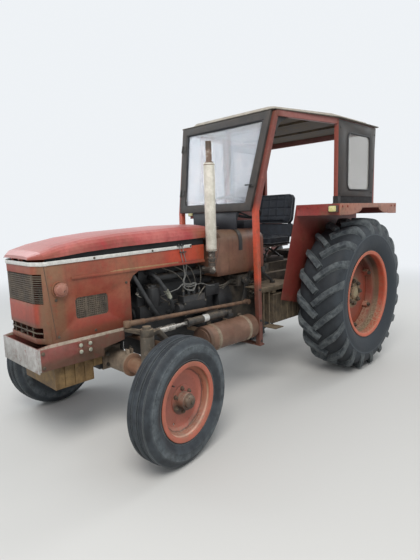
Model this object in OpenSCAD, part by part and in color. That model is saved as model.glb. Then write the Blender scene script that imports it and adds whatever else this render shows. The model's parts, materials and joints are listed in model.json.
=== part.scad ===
// Vintage farm tractor with a weather cab.
// Places are measured from the rear axle at floor level, front towards -Y, left side at +X.

/* [Chassis] */
// Distance between the front and rear axles
wheelbase = 2165; // [2120:5:2250]
// Front axle to the middle of the front bumper plate
front_overhang = 560; // [550:5:580]
// Width of the bumper plate and of the rails behind it
bumper_w = 480; // [476:2:500]
// Height of the bumper plate
bumper_h = 140; // [120:5:160]
// Height of the rails' top edge above the floor
rail_top_z = 722; // [718:1:728]
// Height of the footplates above the floor
foot_z = 820; // [800:5:830]

/* [Rear wheels] */
// Rear tyre diameter over the lugs
rear_tyre_d = 1334; // [1310:2:1350]
// Rear tyre width
rear_tyre_w = 380; // [360:5:390]
// Distance between the rear tyres' middle planes
rear_track = 1310; // [1300:5:1330]
// Rear rim bead seat diameter
rear_rim_d = 711; // [700:1:720]
// Lugs on each side of a rear tyre
lug_count = 20; // [16:1:22]
// Height of a lug over the carcass
lug_h = 34; // [25:1:38]
// Thickness of a lug along the tread
lug_t = 38; // [30:1:42]

/* [Front wheels] */
// Front tyre diameter
front_tyre_d = 730; // [710:2:740]
// Front tyre width
front_tyre_w = 172; // [160:2:180]
// Distance between the front tyres' middle planes
front_track = 1400; // [1380:5:1440]
// Front rim bead seat diameter
front_rim_d = 406; // [400:1:412]
// Angle of the front wheels as parked, to the left
steer_park = 8.5; // [0:0.5:12]

/* [Steering] */
// Distance of each kingpin from the middle
kingpin_x = 460; // [450:5:470]
// Kingpin diameter
kingpin_d = 44; // [38:1:48]
// Length of the tie rod arms
tie_arm = 160; // [155:1:165]
// Length of the steering arm and of the drop arm
drag_arm = 165; // [155:1:170]
// Steering wheel diameter
steering_wheel_d = 420; // [380:5:440]

/* [Bonnet] */
// Width of the body over the side panels
body_w = 476; // [470:2:484]
// Sheet thickness of the body panels
sheet = 3; // [2:0.5:4]
// Height of the white trim strip at the nose
belt_front_z = 1168; // [1160:1:1180]
// Height of the white trim strip at its rear end
belt_rear_z = 1192; // [1184:1:1200]

/* [Cab] */
// Top of the roof above the floor
roof_top_z = 2196; // [2180:2:2230]
// Thickness of the roof's edge
roof_edge = 46; // [36:2:56]
// Width of the cab over the rear quarter panels
cab_w = 1300; // [1280:5:1330]
// Width over the windscreen frame at its foot
screen_foot_w = 784; // [776:4:800]
// Width over the windscreen frame at its top
screen_top_w = 960; // [940:4:980]
// Thickness of the glass
glass_t = 6; // [4:0.5:8]
// Thickness of the windscreen's frame
cab_sheet = 25; // [16:1:30]

/* [Fenders] */
// Top of the fenders above the floor
fender_z = 1455; // [1440:1:1470]
// Width over both fenders
fender_w = 1676; // [1660:2:1690]
// Fender sheet thickness
fender_sheet = 4; // [3:0.5:5]

/* [Hitch] */
// Length of the lower links, pivot to ball
lower_link = 620; // [580:5:650]
// Distance between the lower links
link_spread = 620; // [600:5:650]
// Bore of the lower link balls
ball_bore_d = 28.7; // [22.4:0.1:30]
// Bore of the drawbar's hole
drawbar_bore_d = 32; // [28:1:34]
// Diameter of the power take-off shaft
pto_d = 34.9; // [34.8:0.1:35]

/* [Exhaust] */
// Diameter of the silencer
muffler_d = 78; // [70:1:84]
// Diameter of the tail pipe
tail_pipe_d = 42; // [36:1:48]

/* [Hidden] */
$fn = 48;

// seat: gap between pieces of one body, run: radial clearance of a turning fit
seat = 0.3;
run = 0.05;
plate_t = 6;

// Wheels
rear_r = rear_tyre_d / 2;
front_r = front_tyre_d / 2;
rear_wheel_x = rear_track / 2;
front_wheel_x = front_track / 2;
rear_rim_r = rear_rim_d / 2;
front_rim_r = front_rim_d / 2;
rear_flange_x = 152;
front_flange_x = 60;
spindle_d = 60;
half_w = body_w / 2;
front_y = -wheelbase;
plate_y = front_y - front_overhang;

// Front axle and steering
axle_z = 490;
axle_tube_d = 130;
slide_tube_d = 92;
housing_d = 84;
housing_low_z = 428;
housing_top_z = 700;
arm_z = housing_top_z + 10;
arm_t = 18;
tie_z = 600;
drag_z = 753;
spindle_z = front_r;
drop_pivot = [250, -1010, 868];
drop_shaft_d = 36;
ram_eye = [-87, 85];
ram_pivot = [352, -1330, housing_top_z - 16];
ram_pin_d = 22;
ram_eye_half = 12;

// Engine and gearbox
block_front_y = front_y + 190;
block_rear_y = -1260;
crank_half = 140;
crank_top_z = 800;
jacket_half = 115;
jacket_top_z = 930;
head_half = 120;
head_top_z = 1040;
head_rear_y = -1430;
// distance between the cylinders
bore_pitch = (head_rear_y - block_front_y + 15) / 4;
bell_front_y = -1280;
bell_rear_y = -1130;
crank_z = 700;
fan_z = 915;
radiator_y = front_y - 135;
radiator_t = 80;
radiator_half = 200;
box_half = 170;
box_wide = 200;
box_wide_y = -660;
box_top_z = 830;
pillar_top_z = 960;

// Body
nose_y = plate_y + 28;
nose_half = 166;
nose_side_y = nose_y + 42;
nose_round = 40;
side_round = 30;
nose_slant = atan((nose_side_y - nose_y) / (half_w - nose_half));
nose_end_y = nose_side_y + side_round * tan(45 - nose_slant / 2);
panel_low_z = rail_top_z + seat;
panel_rear_y = front_y + 55;
band_rear_y = -1455;
band_low_z = 1060;
trim_rear_y = -1580;
side_mouth = [[nose_y + 210, 833], [nose_y + 422, 956]];
bonnet_rear_y = -1312;
trim_h = 22;
hinge = [nose_y - 4, belt_front_z + 20];
hinge_x = 60;
hinge_pin_d = 7;
function belt_z(y) = belt_front_z + (belt_rear_z - belt_front_z) * (y - nose_y) / (trim_rear_y - nose_y);
tank_front_y = -1385;
tank_rear_y = -800;
tank_low_z = 938;
tank_top_z = 1280;
tank_half = 270;

// Cab
roof_z = roof_top_z - roof_edge;
rail_z = roof_z - seat - 22;
screen_foot_z = 1415;
screen_top_z = roof_z - 10;
screen_foot_y = -1090;
screen_top_y = -935;
screen_lean = atan((screen_top_y - screen_foot_y) / (screen_top_z - screen_foot_z));
screen_rim = 58;
post_t = 40;
post_front = post_t / 2 + seat / cos(screen_lean);
post_foot_z = 386;
post_b_y = -265;
cab_rear_y = 420;
quarter_low_z = 1520;
quarter_t = 4;

// Fenders
fender_front_y = -580;
fender_rear_y = 470;
fender_in_x = 445;
band_h = 88;
shallow_h = 34;

// Seat and hitch
seat_y = -430;
pan_z = 1122;
link_pivot = [60, 430];
link_drop = 12;
link_pin = 280;
link_pin_d = 30;
rod_pin_d = 22;
lift_pivot = [20, 960];
lift_shaft_d = 60;
rear_reach = link_pivot[0] + lower_link * cos(link_drop) + 40;
front_reach = plate_t / 2 - plate_y;
rear_y = (front_reach - rear_reach) / 2;

module at_axle() translate([0, rear_y, 0]) children();
module both() {
  children();
  mirror([1, 0, 0]) children();
}
module box(a, b) translate(a) cube(b - a);
// A round bar or tube between two points
module rod(p, q, d, bore = 0) {
  v = q - p;
  l = norm(v);
  translate(p) rotate([0, acos(v[2] / l), atan2(v[1], v[0])]) difference() {
    cylinder(h = l, d = d);
    if (bore > 0) translate([0, 0, -1]) cylinder(h = l + 2, d = bore);
  }
}
// A rectangular bar between two points, w wide across its own X, h along its own Y
module bar(p, q, w, h) {
  v = q - p;
  l = norm(v);
  translate(p) rotate([0, acos(v[2] / l), atan2(v[1], v[0])]) translate([-h / 2, -w / 2, 0]) cube([h, w, l]);
}
// A post through points, w wide in X and d deep in Y
module post(points, w, d) skin([for (p = points)
  [p + [-w / 2, -d / 2, 0], p + [w / 2, -d / 2, 0], p + [w / 2, d / 2, 0], p + [-w / 2, d / 2, 0]]]);
module disc_x(x0, x1, y, z, d) translate([x0, y, z]) rotate([0, 90, 0]) cylinder(h = x1 - x0, d = d);
module disc_y(y0, y1, x, z, d) translate([x, y0, z]) rotate([-90, 0, 0]) cylinder(h = y1 - y0, d = d);
module disc_z(z0, z1, x, y, d) translate([x, y, z0]) cylinder(h = z1 - z0, d = d);
// A plate drawn in Y and Z, from x0 to x0 + t
module plate_yz(x0, t) translate([x0, 0, 0]) rotate([90, 0, 90]) linear_extrude(t) children();
// A quarter of an ellipse about c with half axes r, from angle a to angle b
function arc(c, r, a, b, n = 6) =
  [for (i = [0 : n]) let (t = a + (b - a) * i / n) c + [r[0] * cos(t), r[1] * sin(t)]];
function back(list) = [for (i = [len(list) - 1 : -1 : 0]) list[i]];
module round_rect(lo, hi, r) polygon(concat(
  arc(lo + [r, r], [r, r], 180, 270), arc([hi[0] - r, lo[1] + r], [r, r], 270, 360),
  arc(hi - [r, r], [r, r], 0, 90), arc([lo[0] + r, hi[1] - r], [r, r], 90, 180)));
// A skin over rings of points, closed by flat ends that run in strips from each point to its opposite
module skin(rings) {
  n = len(rings[0]);
  m = len(rings);
  polyhedron(
    points = [for (r = rings) each r],
    faces = concat(
      [for (i = [0 : n / 2 - 2]) [i, i + 1, n - 2 - i, n - 1 - i]],
      [for (k = [0 : m - 2]) for (i = [0 : n - 1]) let (j = (i + 1) % n)
        each [[k * n + i, (k + 1) * n + i, k * n + j], [k * n + j, (k + 1) * n + i, (k + 1) * n + j]]],
      [for (i = [0 : n / 2 - 2]) let (e = (m - 1) * n)
        [e + n - 1 - i, e + n - 2 - i, e + i + 1, e + i]]));
}

// Wheels, drawn about the X axis with the outer side towards +X
module turned(points) rotate([0, 90, 0]) rotate([0, 0, 90]) rotate_extrude($fn = 96) polygon(points);
// A closed section from its outer half, given as radius and distance from the middle plane
function mirrored(half) = concat(half, [for (p = back(half)) [p[0], -p[1]]]);

module rear_carcass() {
  r = rear_r - lug_h;
  b = rear_rim_r + seat;
  w = rear_tyre_w / 2;
  f = rear_flange_x;
  turned(mirrored([[b, f - 14], [b + 20, f - 2.5], [b + 28, f + 2], [b + 56, w - 10], [b + 0.45 * (r - b), w],
    [r - 62, w - 12], [r - 22, w - 40], [r, 70]]));
}
// One lug: its profile along the bar and outwards, cut square and set at an angle to the axle
lug_angle = 38;
module lug() {
  base = rear_r - lug_h - 6;
  side_room = rear_tyre_w / 2 - lug_t / 2 * sin(lug_angle);
  run_out = side_room / cos(lug_angle);
  crown = (side_room - 30) / cos(lug_angle);
  function drop(u) = sqrt(rear_r * rear_r - pow(u * sin(lug_angle) + lug_t / 2 * cos(lug_angle), 2));
  rotate([0, 0, lug_angle]) translate([0, lug_t / 2, 0]) rotate([90, 0, 0]) linear_extrude(lug_t) polygon([
    [-12, base - 6], [run_out * 0.6, base - 16], [run_out - 14, drop(run_out) - 96],
    [run_out, drop(run_out) - 74], [run_out - 4, drop(run_out) - 44],
    [crown, drop(crown) - 4], [crown * 0.5, drop(crown * 0.5)], [-12, drop(0)]]);
}
module rear_tyre() {
  pitch = 360 / lug_count;
  union() {
    rear_carcass();
    for (i = [0 : lug_count - 1]) {
      rotate([i * pitch, 0, 0]) lug();
      rotate([(i + 0.5) * pitch, 0, 0]) mirror([1, 0, 0]) lug();
    }
  }
}
module front_tyre() {
  r = front_r;
  w = front_tyre_w / 2;
  b = front_rim_r + seat;
  f = front_flange_x;
  turned(mirrored([[b, f - 14], [b + 20, f - 2.5], [b + 28, f + 2], [b + 46, w - 5], [b + 78, w],
    [r - 38, w - 8], [r - 16, w - 22], [r - 9, w - 30], [r - 3, w - 31], [r - 3, 32], [r - 12, 30],
    [r - 12, 14], [r, 12]]));
}
// A rim barrel with rolled flanges at +-f and a well between a and b
module rim_barrel(r, f, a, b, deep, t) {
  turned([[r, -f + 3], [r + 22, -f - 1], [r + 25, -f - 4], [r + 22, -f - 8],
    [r - 4, -f - 4], [r - t - 1, -f + 10], [r - t - 1, a - 14 - t], [r - deep, a - t], [r - deep, b + t],
    [r - t - 1, b + 18 + t], [r - t - 1, f - 10], [r - 4, f + 4], [r + 22, f + 8], [r + 25, f + 4],
    [r + 22, f + 1], [r, f - 3], [r, b + 18], [r + t - deep, b], [r + t - deep, a], [r, a - 14]]);
}
// Places across the wheel are measured from its middle plane
rear_disc_x = -8;
rear_bolt_r = 100;
rear_clamp_r = 300;
module rear_rim() {
  r = rear_rim_r;
  well = 34;
  in_r = r - well + 3;
  union() {
    rim_barrel(r, rear_flange_x, -60, 30, well, 6);
    // dished disc with its hub flange
    turned([[0, rear_disc_x], [0, 6], [140, 6], [172, -4], [in_r - 24, -22], [in_r, -22], [in_r, -32],
      [in_r - 26, -32], [168, -14], [136, rear_disc_x]]);
    turned([[0, 0], [0, 36], [40, 36], [56, 28], [60, 16], [64, 0]]);
    for (a = [0 : 45 : 315]) rotate([a, 0, 0]) {
      box([2, -13, 40], [15, 13, rear_bolt_r - 1]);
      disc_x(3, 34, 0, rear_bolt_r, 28);
    }
    // clamps between the disc and the barrel
    for (a = [0 : 60 : 300]) rotate([a, 0, 0]) {
      box([-56, -22, rear_clamp_r - 16], [26, 22, in_r - 1.3]);
      disc_x(20, 44, 0, rear_clamp_r, 26);
    }
  }
}
front_disc_t = 8;
front_bolt_r = 68;
hub_in_x = -62;
hub_out_x = 60;
module front_rim() {
  r = front_rim_r;
  well = 22;
  in_r = r - well + 2;
  difference() {
    union() {
      rim_barrel(r, front_flange_x, -22, 27, well, 4);
      turned([[34, -3], [34, front_disc_t - 3], [in_r - 26, front_disc_t - 3], [in_r, 25], [in_r, 15],
        [in_r - 21, -3]]);
      // hub with its flange, and the cap over the spindle's end
      turned([[spindle_d / 2, hub_in_x], [spindle_d / 2, hub_out_x], [46, hub_out_x], [50, hub_out_x - 4],
        [50, 14], [84, 12], [84, -8], [56, -12], [56, hub_in_x]]);
      turned([[0, hub_out_x], [0, hub_out_x + 26], [26, hub_out_x + 24], [38, hub_out_x + 16],
        [38, hub_out_x]]);
      for (a = [0 : 60 : 300]) rotate([a, 0, 0]) disc_x(0, 24, 0, front_bolt_r, 20);
    }
    rotate([150, 0, 0]) disc_x(-10, 60, 0, 140, 16);
  }
}
module scale_side(side) if (side < 0) mirror([1, 0, 0]) children(); else children();
module at_rear(side) at_axle() translate([side * rear_wheel_x, 0, rear_r]) scale_side(side) children();
// The steered pieces of one side, about its kingpin
module steered(side) at_axle() translate([side * kingpin_x, front_y, 0]) rotate([0, 0, steer_park])
  children();
module at_front(side) steered(side) translate([side * (front_wheel_x - kingpin_x), 0, spindle_z])
  scale_side(side) children();

module rear_tyre_l() color("#2b2b2c") at_rear(1) rear_tyre();
module rear_tyre_r() color("#2b2b2c") at_rear(-1) rear_tyre();
module rear_rim_l() color("#b5432a") at_rear(1) rear_rim();
module rear_rim_r() color("#b5432a") at_rear(-1) rear_rim();
module front_tyre_l() color("#2b2b2c") at_front(1) front_tyre();
module front_tyre_r() color("#2b2b2c") at_front(-1) front_tyre();
module front_rim_l() color("#b5432a") at_front(1) front_rim();
module front_rim_r() color("#b5432a") at_front(-1) front_rim();

// Steering
module knuckle(side) {
  reach = front_wheel_x - kingpin_x;
  low_d = housing_d - 6;
  cap_z = housing_top_z + seat;
  disc_z(spindle_z - 30, cap_z + 30, 0, 0, kingpin_d);
  disc_z(spindle_z - 38, housing_low_z - seat, 0, 0, low_d);
  disc_z(cap_z, cap_z + 44, 0, 0, housing_d - 4);
  disc_z(cap_z + 44, cap_z + 60, 0, 0, 52);
  rod([0, 0, spindle_z], [side * (reach + hub_in_x - seat), 0, spindle_z], spindle_d + 4);
  rod([0, 0, spindle_z], [side * (reach + hub_out_x - 2), 0, spindle_z], spindle_d - 2 * run);
  // tie rod arm, back from the cap and down behind the housing
  hull() {
    disc_z(cap_z, cap_z + 22, 0, 0, 60, $fn = 32);
    disc_z(cap_z, cap_z + 22, 0, 92, 36, $fn = 32);
  }
  hull() {
    disc_z(cap_z, cap_z + 22, 0, 92, 36, $fn = 32);
    disc_z(tie_z + 26, tie_z + 48, 0, tie_arm, 40, $fn = 32);
  }
}
module arm(p, w) rotate([0, 0, atan2(p[1], p[0])]) {
  l = norm(p);
  translate([0, -w / 2, 0]) cube([l, w, arm_t]);
  translate([l, 0, 0]) cylinder(h = arm_t, d = w);
}
module knuckle_l() color("#7d6a5c") steered(1) union() {
  knuckle(1);
  translate([0, 0, arm_z]) arm([-drag_arm, 0], 44);
  translate([0, 0, arm_z]) arm(ram_eye, 40);
}
module knuckle_r() color("#7d6a5c") steered(-1) knuckle(-1);
// Straight ahead the tie rod lies square, and it moves as the arms do
tie_y = front_y + tie_arm * cos(steer_park);
tie_dx = -tie_arm * sin(steer_park);
module tie_rod() color("#5d5148") at_axle() union() {
  rod([tie_dx - kingpin_x, tie_y, tie_z], [tie_dx + kingpin_x, tie_y, tie_z], 28);
  for (s = [-1, 1]) {
    x = tie_dx + s * kingpin_x;
    disc_z(tie_z - 20, tie_z + 20, x, tie_y, 44);
    disc_z(tie_z + 19, tie_z + 26 - seat, x, tie_y, 22);
    rod([x - s * 120, tie_y, tie_z], [x - s * 12, tie_y, tie_z], 36);
  }
}
drag_ball = [kingpin_x - drag_arm * cos(steer_park), front_y - drag_arm * sin(steer_park)];
drop_end = drop_pivot + [0, -drag_arm * sin(steer_park), -drag_arm * cos(steer_park)];
drop_t = 20;
drag_gap = 2.5;
module drag_link() color("#6f4a36") at_axle() {
  front = [drag_ball[0], drag_ball[1], drag_z];
  rear = [drop_end[0] + drop_t / 2 + drag_gap + 22, drop_end[1], drop_end[2]];
  v = (rear - front) / norm(rear - front);
  union() {
    rod(front, rear, 28);
    rod(front + 12 * v, front + 130 * v, 36);
    disc_z(arm_z + arm_t + seat, drag_z - 17, front[0], front[1], 26);
    disc_z(drag_z - 18, drag_z + 18, front[0], front[1], 46);
    disc_x(rear[0] - 22, rear[0] + 20, rear[1], rear[2], 40);
  }
}
module drop_arm() color("#4a443f") at_axle() {
  x0 = drop_pivot[0] - drop_t / 2;
  difference() {
    union() {
      disc_x(x0 - 10, x0 + drop_t, drop_pivot[1], drop_pivot[2], 60);
      disc_x(x0, x0 + drop_t, drop_end[1], drop_end[2], 42);
      translate([x0, drop_pivot[1], drop_pivot[2]]) rotate([-steer_park, 0, 0])
        translate([2, -18, -drag_arm]) cube([drop_t - 4, 36, drag_arm]);
    }
    disc_x(x0 - 20, x0 + drop_t + 10, drop_pivot[1], drop_pivot[2], drop_shaft_d + 2 * run);
  }
}
// Steering ram, opened at the rod's eye
eye = [kingpin_x + ram_eye[0] * cos(steer_park) - ram_eye[1] * sin(steer_park),
  front_y + ram_eye[0] * sin(steer_park) + ram_eye[1] * cos(steer_park), arm_z - 26];
ram_l = norm(eye - ram_pivot);
ram_v = (eye - ram_pivot) / ram_l;
ram_rod_d = 24;
ram_tube_d = 52;
ram_out = 350;
function on_ram(d) = ram_pivot + d * ram_v;
module ram_body() color("#3c3a38") at_axle() difference() {
  union() {
    rod(on_ram(8), on_ram(50), 2 * ram_eye_half - 1);
    rod(on_ram(48), on_ram(ram_l - ram_out), ram_tube_d);
    rod(on_ram(ram_l - ram_out - 30), on_ram(ram_l - ram_out + 12), ram_tube_d + 5);
    rod(on_ram(70), on_ram(112), ram_tube_d + 4);
    disc_z(ram_pivot[2] - ram_eye_half, ram_pivot[2] + ram_eye_half, ram_pivot[0], ram_pivot[1], 50);
  }
  rod(on_ram(70), on_ram(ram_l), ram_rod_d + 2 * run);
  disc_z(ram_pivot[2] - 30, ram_pivot[2] + 30, ram_pivot[0], ram_pivot[1], ram_pin_d + 2 * run);
}
module ram_rod() color("#b9b6ae") at_axle() union() {
  rod(on_ram(150), eye, ram_rod_d);
  rod(on_ram(ram_l - 230), on_ram(ram_l - 12), 40);
  disc_z(eye[2] - 20, eye[2] + 20, eye[0], eye[1], 46);
  disc_z(eye[2] + 19, arm_z - seat, eye[0], eye[1], 24);
}
wheel_hub = [0, -800, 1450];
wheel_tilt = 25;
wheel_axis = [0, sin(wheel_tilt), cos(wheel_tilt)];
module steering_wheel() color("#262422") at_axle() translate(wheel_hub) rotate([-wheel_tilt, 0, 0]) union() {
  rotate_extrude() translate([steering_wheel_d / 2 - 13, 0]) circle(d = 26);
  translate([0, 0, -40]) cylinder(h = 46, d = 62);
  for (a = [90, 210, 330]) rotate([0, 0, a])
    rod([20, 0, -24], [steering_wheel_d / 2 - 14, 0, 0], 14);
}

// Chassis castings
module front_axle() color("#7d6a5c") at_axle() difference() {
  union() {
    rod([-300, front_y, axle_z], [300, front_y, axle_z], axle_tube_d);
    rod([-kingpin_x, front_y, axle_z], [kingpin_x, front_y, axle_z], slide_tube_d);
    for (s = [-1, 1]) {
      disc_z(housing_low_z, housing_top_z, s * kingpin_x, front_y, housing_d);
      rod([s * 286, front_y, axle_z], [s * 304, front_y, axle_z], axle_tube_d + 14);
      // clamp lugs of the telescopic ends
      for (y = [front_y - 20, front_y + 8])
        box([s * 268 - 16, y, axle_z + 50], [s * 268 + 16, y + 12, axle_z + 96]);
    }
    box([-60, front_y - 70, axle_z - 70], [60, front_y + 70, axle_z + 74]);
  }
  for (s = [-1, 1])
    disc_z(housing_low_z - 60, housing_top_z + 60, s * kingpin_x, front_y, kingpin_d + 2 * run);
}
module front_support() color("#4a3f38") at_axle() union() {
  inner = bumper_w / 2 - 12 - seat;
  low_z = 640;
  for (y = [front_y - 96, front_y + 70 + seat]) {
    box([-62, y, axle_z - 60], [62, y + 26 - seat, low_z + 2]);
    box([-90, y, axle_z + 90], [90, y + 26 - seat, low_z + 3]);
  }
  disc_y(front_y - 110, front_y - 70 - seat, 0, axle_z, 60);
  box([-box_wide + 10, front_y - 120, low_z], [box_wide - 10, front_y + 80, 716]);
  box([-radiator_half + 20, radiator_y, low_z + 40], [radiator_half - 20, front_y - 100, 716]);
  box([-inner, front_y - 255, low_z], [inner, front_y - 119, 700]);
  // arms bolted along the crankcase
  both() box([crank_half + seat, front_y - 100, low_z + 4], [crank_half + 36, block_front_y + 110, 714]);
}
module bumper_frame() color("#a5453a") at_axle() {
  w = bumper_w / 2;
  shelf_z = rail_top_z - 146;
  strip = [plate_y + 75, front_y - 10];
  union() {
    box([-w, plate_y - plate_t / 2, rail_top_z - bumper_h - 12], [w, plate_y + plate_t / 2, rail_top_z - 12]);
    both() {
      plate_yz(w - 12, 12) polygon([[plate_y, rail_top_z - bumper_h - 2], [front_y - 160, shelf_z],
        [front_y - 160, rail_top_z - 100], [strip[1], rail_top_z - 76], [strip[1], rail_top_z],
        [strip[0], rail_top_z], [plate_y, rail_top_z - 12]]);
      box([w - 36, strip[0], rail_top_z - 8], [w - 6, strip[1], rail_top_z - 0.5]);
      for (y = [front_y - 315, front_y - 255]) for (z = [rail_top_z - 30, rail_top_z - 68])
        disc_x(w - 4, w + 12, y, z, 26);
    }
    box([-w + 8, plate_y + 85, shelf_z + 0.5], [w - 8, front_y - 165, shelf_z + 8]);
  }
}
module front_weights() color("#8a6f55") at_axle() union() {
  top = rail_top_z - 146 - seat;
  pitch = 62;
  first = plate_y + 100;
  for (i = [0 : 4]) {
    y = first + i * pitch;
    box([-200, y, i < 4 ? 438 : 516], [200, y + pitch - 4, top]);
  }
  box([-120, first + 1, 480], [120, first + 4 * pitch + 20, 520]);
}
fan_y = radiator_y + radiator_t + 40;
module engine() color("#2c2b2b") at_axle() union() {
  front = block_front_y;
  box([-crank_half, front, 560], [crank_half, block_rear_y, crank_top_z]);
  box([-crank_half + 8, front + 12, 552], [crank_half - 8, block_rear_y - 4, 562]);
  box([-110, front + 20, 458], [110, -1330, 554]);
  box([-jacket_half, front + 1, crank_top_z - 1], [jacket_half, block_rear_y - 1, jacket_top_z]);
  box([-head_half, front + 15, jacket_top_z - 1], [head_half, head_rear_y, head_top_z]);
  box([-70, front + 45, head_top_z - 2], [70, head_rear_y - 20, 1108]);
  for (y = [front + 110, head_rear_y - 90]) disc_z(1107, 1122, 0, y, 34);
  for (i = [0 : 3]) disc_z(head_top_z - 1, 1078, 95, head_rear_y - 60 - i * bore_pitch, 26);
  // core plugs of the water jacket
  both() for (i = [0 : 2])
    disc_x(jacket_half - 1, jacket_half + 3, head_rear_y - 42 - i * bore_pitch, 862, 50);
  // bell housing, square below
  disc_y(bell_front_y, bell_rear_y, 0, 720, 420);
  box([-box_half, bell_front_y + 0.5, 520], [box_half, bell_rear_y - 0.5, 722]);
  // timing cover, crank and fan pulleys, belt and fan
  disc_y(front - 15, front + 1, 0, crank_z + 20, 180);
  disc_y(front - 80, front - 14, 0, crank_z, 60);
  for (y = [front - 80, front - 58]) disc_y(y, y + 12, 0, crank_z, 130);
  disc_y(front - 74, front - 50, 0, crank_z, 116);
  disc_y(front - 46, front + 20, 0, fan_z, 100);
  disc_y(fan_y - 14, front - 45, 0, fan_z, 40);
  for (y = [front - 80, front - 58]) disc_y(y, y + 12, 0, fan_z, 118);
  disc_y(front - 74, front - 50, 0, fan_z, 104);
  for (s = [-1, 1]) bar([s * 56, front - 63, crank_z], [s * 50, front - 63, fan_z], 12, 9);
  disc_y(fan_y - 12, fan_y + 12, 0, fan_z, 90);
  for (a = [0 : 60 : 300]) translate([0, fan_y, fan_z]) rotate([0, a, 0]) rotate([0, 0, 28])
    box([-24, -2, 30], [24, 2, 160]);
}
module engine_gear() color("#363432") at_axle() union() {
  side = crank_half + seat;
  wall = jacket_half + seat;
  ledge = crank_top_z + seat;
  head = head_half + seat;
  // left: oil filler canister on the ledge
  disc_z(ledge, jacket_top_z - 2, wall + 52, block_front_y + 90, 104);
  disc_z(jacket_top_z - 3, 946, wall + 52, block_front_y + 90, 62);
  // exhaust manifold: log, ports and the flange of the exhaust pipe
  disc_y(block_front_y + 90, head_rear_y + 30, 165, 985, 56);
  for (i = [0 : 3]) disc_x(head, 165, head_rear_y - 15 - i * bore_pitch, 985, 44);
  disc_x(165, 200, exhaust_at[1], exhaust_at[2], 60);
  // injection pump with its delivery valves, governor and drive
  box([side, -1660, 690], [232, -1440, 790]);
  box([160, -1655, 788], [222, -1445, 832]);
  for (i = [0 : 3]) disc_z(830, 862, 190, -1628 + i * 52, 24);
  disc_y(-1700, -1658, 188, 742, 92);
  // filter case beside the tank
  box([wall, -1425, ledge], [214, bell_front_y - seat, 884]);
  // starter, seated on the bell housing
  disc_y(-1500, bell_front_y - seat, side + 52.5, 595, 105);
  disc_y(-1470, -1300, side + 70, 655, 50);
  // bracket and pin of the steering ram
  ram_seat_z = ram_pivot[2] - ram_eye_half - seat;
  box([side, ram_pivot[1] - 24, ram_seat_z - 22], [ram_pivot[0] + 24, ram_pivot[1] + 24, ram_seat_z]);
  disc_z(ram_seat_z - 1, ram_pivot[2] + ram_eye_half + 4, ram_pivot[0], ram_pivot[1], ram_pin_d);
  // right: dynamo, oil filters, air cleaner and inlet pipe
  disc_y(block_front_y + 15, block_front_y + 195, -side - 58, 776, 116);
  disc_y(block_front_y - 30, block_front_y + 16, -side - 58, 776, 84);
  box([-side - 86, -1700, 752], [-side, -1500, 790]);
  for (y = [-1652, -1548]) disc_z(640, 753, -side - 46, y, 84);
  disc_z(ledge, 1010, -head - 60, -1655, 120);
  disc_y(block_front_y + 80, head_rear_y - 10, -160, 990, 50);
  for (i = [0 : 3]) disc_x(-160, -head, head_rear_y - 30 - i * bore_pitch, 990, 40);
}
module gearbox() color("#3d3a36") at_axle() union() {
  box([-box_half, bell_rear_y + seat, 470], [box_half, box_wide_y + 20, box_top_z]);
  box([-box_wide, box_wide_y, 470], [box_wide, 170, 880]);
  box([-140, -560, 878], [140, 140, pillar_top_z]);
  box([-150, -100, pillar_top_z - 2], [150, 165, 1030]);
  // feet of the fuel tank, and the steering box with its shaft
  for (y = [-1100, -870]) box([-150, y, box_top_z - 1], [150, y + 40, tank_low_z - seat]);
  box([110, drop_pivot[1] - 62, box_top_z - 2],
    [drop_pivot[0] - drop_t / 2 - 10 - seat, drop_pivot[1] + 60, 915]);
  disc_x(drop_pivot[0] - 40, drop_pivot[0] + 16, drop_pivot[1], drop_pivot[2], drop_shaft_d);
  for (s = [-1, 1]) {
    flange_x = rear_wheel_x + rear_disc_x - seat;
    lift = [0, lift_pivot[0], lift_pivot[1]];
    link = [0, link_pivot[0], link_pivot[1]];
    rod([s * 190, 0, rear_r], [s * 360, 0, rear_r], 220);
    rod([s * 350, 0, rear_r], [s * 500, 0, rear_r], 170);
    rod([s * 480, 0, rear_r], [s * (flange_x - 40), 0, rear_r], 110);
    rod([s * (flange_x - 44), 0, rear_r], [s * flange_x, 0, rear_r], 210);
    // lift shaft, and the pins of the lower links
    rod(lift + [s * 100, 0, 0], lift + [s * (link_half - 86 - seat), 0, 0], 96);
    rod(lift + [s * 100, 0, 0], lift + [s * (link_half - 24), 0, 0], lift_shaft_d);
    box([s * 175 - 25, 20, 400], [s * 175 + 25, 100, 472]);
    rod(link + [s * 190, 0, 0], link + [s * (link_half + 34), 0, 0], link_pin_d);
  }
  disc_y(165, 205, 0, 620, 130);
}
module radiator() color("#33302e") at_axle() union() {
  rear = radiator_y + radiator_t;
  box([-radiator_half, radiator_y, 716 + seat], [radiator_half, rear, 1120]);
  box([-radiator_half - 5, radiator_y - 6, 1118], [radiator_half + 5, rear + 6, 1150]);
  difference() {
    disc_y(rear - 1, rear + 70, 0, fan_z, 380);
    disc_y(rear + 1, rear + 80, 0, fan_z, 366);
  }
  disc_z(1149, 1171, 60, radiator_y + 40, 60);
}

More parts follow.
